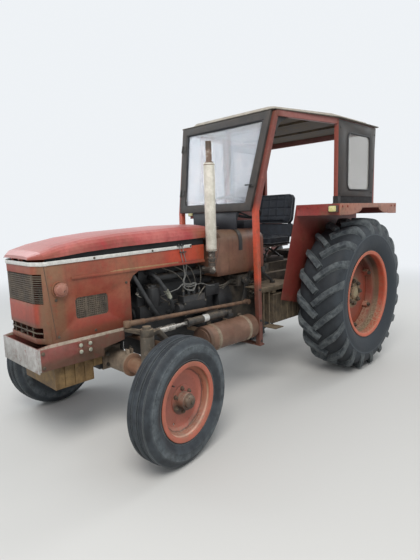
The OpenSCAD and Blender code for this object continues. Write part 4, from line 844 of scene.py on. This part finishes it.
def make_seat():
    make_pad("seat_cushion_pad", "seat_cushion", Matrix.Identity(4), (-SEAT_HALF, SEAT_Y - 200, PAN_Z),
             (SEAT_HALF, SEAT_Y + 140, PAN_Z + CUSHION_H), 50, CHANNELS_X, ())
    make_pad("seat_back_pad", "seat_back", BACK_TURN, (-SEAT_HALF, 40, 0), (SEAT_HALF, 340, BACK_T), 60,
             CHANNELS_X, BACK_CHANNELS)
    flap = Shape()
    flap.loft([[(x, y, z) for x, y in rounded_outline((inset - 205, y0), (205 - inset, y0 + 34), 14)]
               for z, y0, inset in ((1178, -312, 8), (1200, -306, 2), (1226, -296, 0), (1262, -290, 2),
                                    (1296, -280, 12))])
    flap.build("seat_flap", "seat_black", width=0.003)
    rails = Shape()
    for x in (-120, 120):
        rails.box((x - 14, SEAT_Y - 180, PAN_Z - 26), (x + 14, SEAT_Y + 180, PAN_Z - 11))
    # lever of the slide
    rails.tube(curved([(150, SEAT_Y - 150, PAN_Z - 20), (200, SEAT_Y - 185, PAN_Z - 22),
                       (214, SEAT_Y - 200, PAN_Z - 18)]), 5)
    rails.build("seat_rails", "bright_steel", width=0.0012)


# Cab
CAB_SIDE = 650
QUARTER_WINDOW = ((-110, 1578), (305, 2050))
SCREEN_FOOT, SCREEN_TOP = (-1090, 1415), (-935, 2140)
SCREEN_LEAN = math.atan2(SCREEN_TOP[0] - SCREEN_FOOT[0], SCREEN_TOP[1] - SCREEN_FOOT[1])
SCREEN_H = (SCREEN_TOP[1] - SCREEN_FOOT[1]) / math.cos(SCREEN_LEAN)
SCREEN_HALF = (392, 480)
SCREEN_TURN = Matrix.Translation((0, *SCREEN_FOOT)) @ Matrix.Rotation(math.pi / 2 - SCREEN_LEAN, 4, "X")
PANE_RIM, PANE_CORNER = 58, 26
LINING_Z, LINING_SAG, LINING_T = 2147.5, 14, 1.2
ROOF_BOWS = (-884, -430, 0, 400)


def screen_half(height):
    return SCREEN_HALF[0] + (SCREEN_HALF[1] - SCREEN_HALF[0]) * height / SCREEN_H


def roof_half(y, foot, widest):
    """Half the roof's inner width at a place along it."""
    return min(widest, foot + (y + 880) * 0.21)


def make_window_seals():
    seals = Shape()
    for x, thick in ((CAB_SIDE, 8), (CAB_SIDE - 10, 7)):
        seals.tube([(x, y, z) for y, z in rounded_outline(*QUARTER_WINDOW, 50, 8)], thick, looped=True)
    seals.mirror()
    low, high = PANE_RIM, SCREEN_H - PANE_RIM
    corners = [Vector((way * (screen_half(height) - PANE_RIM), height))
               for way, height in ((-1, low), (1, low), (1, high), (-1, high))]
    for level in (17, 3):
        route = []
        for i, here in enumerate(corners):
            back, onward = ((corners[(i + k) % 4] - here).normalized() * PANE_CORNER for k in (-1, 1))
            for t in (0, 0.2, 0.4, 0.6, 0.8, 1):
                route.append(SCREEN_TURN @ Vector((*(here + back * (1 - t) ** 2 + onward * t ** 2), level)))
        seals.tube(route, 7, looped=True)
    seals.build("window_seals", "hose_rubber")


def make_cab_fittings():
    fittings = Shape()
    fittings.bolts([(450.5 - (z - 420) * 0.0197, -1069, z) for z in (420, 580, 820)], OUT, 15, 6)
    # gusset from the roof rail to the windscreen frame
    gusset = [(488 + y * 0.19, y - 915, 2108 + z)
              for y, z in ((0, 0), (150, 0), (110, -10), (60, -34), (24, -78), (0, -130))]
    fittings.loft([gusset, [(x - 6, y, z) for x, y, z in gusset]])
    # brackets at the feet of the middle posts
    fittings.box((608, -292, 1455.5), (656, -196, 1463))
    fittings.box((603, -268, 1462), (649, -222, 1522))
    fittings.bolts([(636, -282, 1463), (636, -206, 1463), (632, 372, 1455.2), (632, 440, 1455.2)], UP, 15, 7)
    fittings.bolts([(CAB_SIDE, y, z) for y, z in ((-240, 1545), (-240, 1760), (-240, 2080), (395, 2080),
                                                  (372, 1760), (350, 1560))], OUT, 11, 4)
    fittings.mirror()
    # hinges of the opening pane on the right
    for height in (170, 560):
        x = 30 - screen_half(height)
        fittings.box((x - 16, height - 26, 25), (x + 22, height + 26, 29), SCREEN_TURN)
        fittings.tube([SCREEN_TURN @ Vector((x - 20, height + d, 32)) for d in (-30, 30)], 6.5, 12)
        fittings.bolts([SCREEN_TURN @ Vector((x + 10, height + d, 29)) for d in (-14, 14)],
                       SCREEN_TURN.to_3x3() @ Vector(UP), 9, 4, False)
    # its catch on the left
    x = screen_half(190) - 34
    fittings.box((x - 18, 178, 25), (x + 26, 202, 33), SCREEN_TURN)
    fittings.box((x - 8, 184, 33), (x + 4, 196, 46), SCREEN_TURN)
    fittings.box((x - 46, 185, 42), (x + 6, 195, 50), SCREEN_TURN)
    fittings.build("cab_fittings", "black_metal", width=0.0006)


def make_skirt():
    """Rubber lips between the rear quarter panels and the fenders."""
    skirt = Shape()
    section = ((0, 1456), (6, 1456), (5, 1492), (5, 1524), (0, 1524), (0, 1492))
    skirt.loft([[(x + out, y, z) for out, z in section]
                for y, x in ((-214, 640), (-120, 642), (0, 643), (120, 642.5), (240, 643), (384, 640))])
    skirt.mirror()
    skirt.build("window_skirt", "hose_rubber", "seal_rubber")


def make_roof_lining():
    """Cloth panels that sag a little between the bows of the roof."""
    lining = Shape()
    rows = 24
    for low_y, high_y in ((-880, -430), (-430, 0), (0, 400)):
        rings = []
        for j in range(rows + 1):
            v = j / rows
            y = low_y + (high_y - low_y) * v
            half = roof_half(y, 470, 600)
            sag = LINING_SAG * (1 - (2 * v - 1) ** 4)
            row = [((2 * i / rows - 1) * half, y, LINING_Z - sag * (0.6 + 0.4 * math.sin(math.pi * i / rows)))
                   for i in range(rows + 1)]
            rings.append(row + [(x, y, z + LINING_T) for x, y, z in reversed(row)])
        lining.loft(rings)
    for y in ROOF_BOWS:
        half = roof_half(y, 474, 606)
        lining.box((-half, y - 14, 2126), (half, y + 14, 2146))
    lining.build("roof_lining", "box_brown")


# Engine bay: sides of the block, the crankcase and the bell housing
BLOCK_X, CRANKCASE_X, HOUSING_X = 119, 139, 149
# Each cylinder's outlet on the injection pump, and its nozzle on the head
CYLINDERS = [(-1628 + 52 * i, -1910 + 140 * i) for i in range(4)]


def make_fuel_lines():
    lines = Shape()
    for i, (outlet, nozzle) in enumerate(CYLINDERS):
        x = 214 + 3 * (i % 2)
        lines.tube(curved([(190, outlet, 856), (190, outlet, 884), (x, outlet - 6, 930),
                           (x, (outlet * 2 + nozzle) / 3, 1010), (196, (outlet + nozzle * 2) / 3, 1052),
                           (140, nozzle, 1092), (100, nozzle, 1094), (95, nozzle, 1074)]), 3.4)
    # low pressure lines: feed pump to the canister, filter to the pump, and the return along the head
    lines.tube(curved([(170, -1655, 760), (176, -1700, 770), (196, -1790, 820), (186, -1860, 880),
                       (172, -1880, 930)]), 5)
    lines.tube(curved([(205, -1425, 868), (226, -1450, 876), (224, -1500, 830), (214, -1520, 786)]), 5)
    lines.tube(curved([(92, -1900, 1066), (78, -1840, 1112), (74, -1700, 1116), (76, -1560, 1114),
                       (92, -1500, 1070)]), 3, 6)
    lines.build("fuel_lines", "black_metal", "pipe_steel")


def make_engine_nuts():
    nuts = Shape()
    nuts.bolts([(96, nozzle + 66, 1039) for _, nozzle in CYLINDERS], UP, 19, 12)
    nuts.bolts([(CRANKCASE_X, -1900 + 180 * i, z) for i in range(4) for z in (590, 780)], OUT, 14, 7)
    # front support, then bell housing and gearbox
    nuts.bolts([(BLOCK_X, y, z) for y in (-2060, -2230) for z in (540, 470)], OUT, 22, 12)
    places = ((-1180, 700), (-1180, 560), (-1000, 460), (-1000, 620), (-700, 470), (-700, 640))
    nuts.bolts([(HOUSING_X, y, z) for y, z in places], OUT, 19, 10)
    nuts.mirror()
    nuts.bolts([(190, outlet, 860) for outlet, _ in CYLINDERS], UP, 17, 16, False)
    nuts.bolts([(95, nozzle, 1072) for _, nozzle in CYLINDERS], UP, 17, 14, False)
    nuts.bolts([(165, -1850 + 130 * i, 1012) for i in range(4)], (0.3, 0, 1), 14, 8)
    nuts.bolts([(BLOCK_X, -1850 + 130 * i, z) for i in range(4) for z in (1000, 960)], OUT, 17, 10)
    # injection pump and its governor
    nuts.bolts([(231, y, z) for y, z in ((-1650, 700), (-1650, 780), (-1450, 700), (-1450, 780),
                                         (-1550, 700))], OUT, 12, 6)
    nuts.bolts([(165, -1410, 882), (165, -1296, 882)], UP, 17, 8)
    nuts.build("engine_nuts", "black_metal", "pipe_steel")


def make_engine_fittings():
    fitting = Shape()
    low, high = Vector((245, -1795, 848)), Vector((245, -1833, 912))
    for k in range(8):
        start = low.lerp(high, k / 8)
        fitting.tube([start, start.lerp(high, 0.11)], 17 if k % 2 else 15, 12)
    fitting.build("hose_fitting", "bright_steel", "pale_bolt")
    drum = Shape()
    drum.lathe([(6, -60), (46, -60), (50, -54), (50, -10), (46, -4), (46, 34), (42, 40), (6, 40)],
               Matrix.Translation((150, -1868, 900)) @ Matrix.Rotation(math.pi / 2, 4, "Z"), 32)
    drum.box((118, -1890, 880), (150, -1850, 920))
    drum.build("dark_drum", "engine_black")
    plug = Shape()
    plug.lathe([(2, -10), (9, -10), (9, 4), (6, 6), (2, 6)], Matrix.Translation((168, -2010, 902)), 16)
    plug.tube(curved([(160, -2010, 902), (150, -1990, 880), (130, -1960, 868), (112, -1940, 860)]), 3, 6)
    plug.build("pale_plug", "silencer")


# Three unions along the valve block on the left of the gearbox
UNIONS_Y = (-925, -895, -865)
VALVES_X, VALVES_TOP = 206, 800


def make_hydraulics():
    block = Shape()
    block.box((150, -940, 700), (VALVES_X, -850, 772))
    block.box((158, -930, 770), (198, -862, VALVES_TOP))
    block.bolts([(VALVES_X, y, 718) for y in UNIONS_Y], OUT, 17, 10)
    block.bolts([(178, y, VALVES_TOP) for y in UNIONS_Y], UP, 19, 14)
    block.disc((VALVES_X, UNIONS_Y[1], 750), OUT, 15, 22, 24)
    block.build("valve_block", "casting_brown", "gearbox")
    pipes = Shape()
    for k, y in enumerate(UNIONS_Y):
        pipes.tube(curved([(178, y, VALVES_TOP + 12), (178, y, VALVES_TOP + 38), (186 - 8 * k, y - 60, 868),
                           (190 - 9 * k, -1120, 884 - 14 * k), (196 - 8 * k, -1200, 860 - 16 * k),
                           (150, -1262, 842 - 20 * k)]), 6, 10)
    pipes.tube(curved([(226, -895, 750), (240, -880, 742), (238, -800, 700), (214, -700, 660),
                       (150, -640, 640)]), 7, 10)
    for y in (-1000, -1080):
        pipes.box((160, y - 8, 850), (206, y + 8, 856))
    pipes.build("hydraulic_pipes", "black_metal", "pipe_steel")
    spring = Shape()
    turns = [k * math.pi / 5 for k in range(96)]
    spring.tube([(170 + 11 * math.cos(t), 3.04 * t - 760, 790 + 11 * math.sin(t)) for t in turns], 2.2, 6)
    spring.tube([(170, -800, 790), (170, -540, 790)], 4)
    spring.build("pedal_spring", "rod_rust")


def make_wires():
    """Two lamp wires over the trim strip, held by its clips, and down along the engine."""
    tails = ([(222, -1600, 896), (222, -1480, 906), (214, -1400, 880), (214, -1330, 872)],
             [(218, -1700, 896), (205, -1740, 884), (180, -1790, 862), (141, -1800, 850)])
    for letter, y, z, wander, tail in (("a", -1703, 1205, 0, tails[0]), ("b", -1676, 1206, 9, tails[1])):
        wire = Shape()
        wire.tube(curved([(248.5, y, z), (249, y + 10, 1168), (246, y + 24, 1120), (238, y + 44, 1060),
                          (226, -1640 + wander, 985), (222, -1652 + wander, 935), (223, -1600, 908 + wander),
                          (222, -1528 - wander, 915), (224, -1560, 874 - wander), (222, -1630, 884),
                          (221, -1660 + wander, 925)] + tail, 6), 2.6)
        if letter == "a":
            wire.mark = 1
            for clip_y, clip_z in ((-1690, 1196), (-1668, 1150)):
                wire.box((242, clip_y - 26, clip_z - 4), (252, clip_y + 30, clip_z + 4))
        wire.build("lamp_wire_" + letter, "hose_rubber", ("wire_grey", "black_metal"))


# Bodywork
BONNET_FRONT, BONNET_L = -2709, 1397
FENDER_X = 835
FENDER_LAMP = (793, -614, 1415)
SIDE_LAMP_Y, SIDE_LAMP_Z = -2577, 1018
EXHAUST_X, EXHAUST_Y = 291, -1430
FENDER_TOP, FENDER_INNER_X = 1432, 444.6
GRILLE_SIDE, GRILLE_FRONT = (836, 954), (937, 1115)
SIDE_PITCH, FRONT_PITCH, FIN_PITCH = 12.1, 12, 6
STRAP_Y, FILLER = (-1108, -1066), (90, -1190)
DIALS_Y, DIALS_Z, KNOBS_Y, KNOBS_Z = -798.5, 1296, -759.8, 1240
BATTERY_X, AIR_CLAMPS_Y = 423, (-1548, -1218)


def make_panels():
    screws = Shape()
    screws.bolts([(242.5, y, 1164 + (y + 2697) * 0.0206) for y in (-2350, -1925, -1589)], OUT, 11, 4)
    screws.bolts([(237.5, y, z) for y, z in ((-2138, 1000), (-2129, 753), (-2600, 753), (-2600, 960),
                                             (-2370, 745))], OUT, 13, 5)
    screws.bolts([(239.5, -2700, 600), (239.5, -2700, 680)], OUT, 17, 8)
    screws.tube([(238.2, y, z) for y, z in ((-2655, 1152), (-2634, 950), (-2613, 740))], 1.6, 6)
    screws.mirror()
    screws.build("panel_screws", "casting_brown")

    heads = Shape()
    for y in (-2480, -2420):
        for z in (642, 680):
            heads.disc((251.5, y, z), OUT, 12, 3, 20, 4)
    heads.mirror()
    heads.build("rail_bolt_heads", "bright_steel", "pale_bolt")

    # rubber lips that close the slit under the bonnet
    seal = Shape()
    rings = []
    for share, top in ((0.05, 1189), (0.11, 1199), (0.22, 1213), (0.39, 1225), (0.72, 1235), (0.90, 1241)):
        y = BONNET_FRONT + BONNET_L * share
        rings.append([(224, y, 1150), (230, y, 1150), (230, y, top), (224, y, top)])
    seal.loft(rings)
    seal.mirror()
    seal.build("bonnet_seal", "hose_rubber", "seal_rubber")


def make_grilles():
    """Wires of the grilles, with the finned coolers behind those at the sides."""
    wires = Shape()
    for k in range(18):
        y = -2484 + SIDE_PITCH * k
        wires.box((231, y - 2.4, GRILLE_SIDE[0]), (235, y + 2.4, GRILLE_SIDE[1]))
    wires.mirror()
    for k in range(29):
        x = -168 + FRONT_PITCH * k
        wires.box((x - 1.6, -2692.5, GRILLE_FRONT[0]), (x + 1.6, -2689.5, GRILLE_FRONT[1]))
    wires.build("grille_wires", "grille_steel")
    cooler = Shape()
    for k in range(36):
        y = -2488 + FIN_PITCH * k
        cooler.box((210, y - 1.8, GRILLE_SIDE[0] - 4), (222, y + 1.8, GRILLE_SIDE[1] + 4))
    cooler.box((206, -2490, GRILLE_SIDE[0] - 6), (210, -2272, GRILLE_SIDE[1] + 6))
    cooler.mirror()
    cooler.build("side_cooler", "bright_steel", "pale_bolt")


def make_strip():
    """Ribs pressed in the strip along each side panel."""
    ribs = Shape()
    section = ((237.6, -1), (241, -0.86), (243.2, -0.4), (243.2, 0.4), (241, 0.86), (237.6, 1))
    ribs.loft([[(x, -2251 + 42 * k, 1075 + z * 11.5 * min(1, 0.35 + k / 2)) for x, z in section]
               for k in range(14)])
    ribs.mirror()
    ribs.build("pressed_strip", "bonnet_paint", "strip_tan")


def make_fender_fittings():
    fender = Shape()
    fender.bolts([(FENDER_X + 3, y, FENDER_TOP) for y in (-540, -460, 360, 440)], OUT, 15, 4)
    fender.bolts([(FENDER_INNER_X, y, z) for y, z in ((-440, 1300), (-440, 1100), (-100, 1010), (100, 1010),
                                             (330, 1120))], (-1, 0, 0), 15, 6)
    fender.bolts([(x, -580.4, FENDER_TOP) for x in (470, 560, 650)], (0, -1, 0), 13, 5)
    # rolled edge under the outer band
    edge = [(-579, 1367), (-432, 1367), (-330, 1374), (-255, 1396), (-212, 1420), (-180, 1421), (60, 1421),
            (100, 1421), (140, 1400), (210, 1376), (320, 1368), (469, 1367)]
    fender.tube([(FENDER_X, y, z) for y, z in edge], 3.2)
    fender.mirror()
    fender.build("fender_fittings", "cab_red", "paint_red")


def make_lamps():
    lens, rims, dome = Shape(), Shape(), Shape()
    turn = Matrix.Translation(FENDER_LAMP) @ Matrix.Rotation(math.pi / 2, 4, "X")
    outline = rounded_outline((-30, -22), (30, 22), 8, 4)
    lens.loft([[(x * s, y * s, z) for x, y in outline]
               for s, z in ((1, -1), (1, 4), (0.9, 8), (0.6, 10.5))], turn)
    for k in range(-4, 5):
        lens.box((k * 6.4 - 0.8, -17, 8), (k * 6.4 + 0.8, 17, 11), turn)
    outline = rounded_outline((-32, -24), (32, 24), 9, 4)
    rims.tube([turn @ Vector((x, y, 1)) for x, y in outline], 2.6, looped=True)
    dome.disc((263, SIDE_LAMP_Y, SIDE_LAMP_Z), OUT, 34, 3, 40, 15)
    dome.disc((262, SIDE_LAMP_Y, SIDE_LAMP_Z), OUT, 40, 3, 40)
    dome.bolts([(263, SIDE_LAMP_Y + y, SIDE_LAMP_Z + z) for y, z in around(4, 37, 45)], OUT, 9, 5)
    dome.mark = 1
    dome.disc((277.6, SIDE_LAMP_Y + 7, SIDE_LAMP_Z - 5), OUT, 8, 2, 20)
    for shape in (lens, rims, dome):
        shape.mirror()
    lens.build("lamp_lenses", "lamp_body", "lens_yellow")
    rims.build("lamp_rims", "black_metal")
    dome.build("side_lamps", "lamp_body", ("lamp_body", "seal_rubber"))


def make_exhaust_rings():
    rings = Shape()
    for z, radius, wire, count in ((1150, 39.6, 2.2, 40), (1744, 39.8, 2.2, 40), (1896, 21.2, 1.6, 32),
                                   (1030, 25.5, 1.6, 32), (1060, 25.5, 1.6, 32)):
        rings.tube([(EXHAUST_X + x, EXHAUST_Y + y, z) for x, y in around(count, radius)], wire, 6, True)
    rings.bolts([(EXHAUST_X + x, EXHAUST_Y + y, 1091) for x, y in around(4, 27, 45)], UP, 9, 6)
    rings.build("exhaust_rings", "rod_rust")


def make_tank_fittings():
    """Seams and straps of the fuel tank with its cap, and the dials of the dashboard."""
    tank = Shape()
    tank.tube([(268.6, y, z) for y, z in ((-1376, 1010), (-1340, 1120), (-1320, 1190))], 2.6, 6)
    front, back = STRAP_Y
    tank.loft([[(x, front, z), (x, back, z), (x + 2.4, back, z), (x + 2.4, front, z)]
               for x, z in ((271, 1120), (271, 1196), (263, 1236), (246, 1266), (224, 1281), (200, 1282))])
    tank.mirror()
    tank.lathe([(36, 1288), (38, 1291), (38, 1301), (34, 1305), (12, 1307), (12, 1300), (30, 1294)],
               Matrix.Translation((*FILLER, 0)) @ Matrix.Rotation(-math.pi / 2, 4, "Y"), 32)
    tank.build("tank_straps", "black_metal")
    dials = Shape()
    for x, radius in ((-110, 38), (-20, 30), (60, 30)):
        dials.disc((x, DIALS_Y, DIALS_Z), (0, 1, 0), radius, 6, 32)
        dials.disc((x, DIALS_Y + 5.5, DIALS_Z), (0, 1, 0), radius * 0.82, 2, 32, 3)
    for x in (-150, -60, 20, 110, 150):
        dials.disc((x, KNOBS_Y, KNOBS_Z), (0, 1, 0), 10, 9, 16, 3)
    dials.build("dash_dials", "black_metal")


def make_low_fittings():
    box = Shape()
    # ribs and catch of the battery box
    for y in (-840, -760, -680, -600, -530):
        box.box((BATTERY_X, y - 6, 528), (BATTERY_X + 4, y + 6, 742))
    box.box((BATTERY_X, -706, 715), (BATTERY_X + 9, -672, 770))
    box.tube([(430, -704, 752), (438, -704, 740), (438, -674, 740), (430, -674, 752)], 3, 6)
    box.build("box_ribs", "box_brown", width=0.001)
    tank = Shape()
    # clamps and plugs of the air tank
    for y in AIR_CLAMPS_Y:
        tank.bolt((300, y, 586), UP, 15, 8)
        tank.box((352, y - 14, 628), (366, y + 14, 652))
        tank.bolt((359, y - 12, 642), (0, -1, 0), 13, 7)
    tank.bolt((385, -1650, 542), (0, -1, 0), 34, 16, False)
    tank.bolt((385, -1300, 449.5), (0, 0, -1), 24, 10, False)
    tank.build("air_tank_fittings", "casting_brown")
    axle = Shape()
    axle.bolts([(262, y, REAR_RADIUS + z) for y, z in around(8, 118, 22.5)], OUT, 19, 9)
    axle.bolts([(x, 204.5, z) for x, z in ((60, 560), (60, 780), (120, 670))], (0, 1, 0), 22, 11)
    axle.mirror()
    axle.build("axle_bolts", "casting_brown")


def make_detail():
    for side, hand in ((1, "l"), (-1, "r")):
        make_rear_wheel(side, hand)
        make_front_wheel(side, hand)
    for make in (make_seat, make_window_seals, make_cab_fittings, make_skirt, make_roof_lining,
                 make_fuel_lines, make_engine_nuts, make_engine_fittings, make_hydraulics, make_wires,
                 make_panels, make_grilles, make_strip, make_fender_fittings, make_lamps,
                 make_exhaust_rings, make_tank_fittings, make_low_fittings):
        make()


# Floor, world and lamps
FLOOR_HALF, FLOOR_FADE = 30.0, (3.0, 9.0)
BACKGROUND = (0.86, 0.89, 0.92, 1)


def make_floor():
    mesh = bpy.data.meshes.new("floor")
    corners = [(x * FLOOR_HALF, y * FLOOR_HALF, 0) for x, y in ((-1, -1), (1, -1), (1, 1), (-1, 1))]
    mesh.from_pydata(corners, [], [(0, 1, 2, 3)])
    floor = link("floor", mesh)
    f = Finish("floor")
    # far out the floor takes the background's tone, so that no edge shows
    away = f.run("ShaderNodeVectorMath", {0: f.place}, "Value", operation="LENGTH")
    far = f.range(away, *FLOOR_FADE)
    floor.data.materials.append(f.done(f.mix(far, (206, 204, 200), (0, 0, 0)), 0.9, 0.0, 0.0, **{
        "Emission Color": BACKGROUND, "Emission Strength": far}))


def make_world():
    world = bpy.data.worlds.new("studio")
    world.use_nodes = True
    tree = world.node_tree
    tree.nodes.clear()
    # the camera, reflections and glass see the plain background; everything else is lit by the sky
    path = tree.nodes.new("ShaderNodeLightPath")
    seen = path.outputs["Is Camera Ray"]
    for ray in ("Is Glossy Ray", "Is Transmission Ray"):
        either = tree.nodes.new("ShaderNodeMath")
        either.operation = "MAXIMUM"
        tree.links.new(seen, either.inputs[0])
        tree.links.new(path.outputs[ray], either.inputs[1])
        seen = either.outputs[0]
    both = tree.nodes.new("ShaderNodeMixShader")
    tree.links.new(seen, both.inputs[0])
    for i, color, strength in ((1, (0.86, 0.93, 1.0, 1), 0.62), (2, BACKGROUND, 1.0)):
        light = tree.nodes.new("ShaderNodeBackground")
        light.inputs["Color"].default_value = color
        light.inputs["Strength"].default_value = strength
        tree.links.new(light.outputs[0], both.inputs[i])
    tree.links.new(both.outputs[0], tree.nodes.new("ShaderNodeOutputWorld").inputs[0])
    bpy.context.scene.world = world


def make_lamp(name, place, target, size, power, color=(1, 1, 1)):
    data = bpy.data.lights.new(name, "AREA")
    data.shape = "DISK"
    data.size = size
    data.energy = power
    data.color = color
    lamp = link(name, data)
    lamp.location = place
    lamp.rotation_mode = "QUATERNION"
    lamp.rotation_quaternion = (Vector(target) - Vector(place)).to_track_quat("-Z", "Y")


def make_studio():
    make_floor()
    make_world()
    make_lamp("key", (3.2, -3.6, 5.4), (0, 0, 0.8), 3.2, 260, (1.0, 0.98, 0.95))
    make_lamp("fill", (-4.5, -2.5, 4.0), (0, 0, 0.9), 4.0, 110, (0.92, 0.96, 1.0))
    make_lamp("back", (1.0, 5.5, 4.5), (0, 0, 1.0), 4.0, 140)


make_camera()
dress_frame()
make_detail()
make_studio()
bpy.context.scene.view_settings.view_transform = "Standard"

bpy.context.view_layer.update()
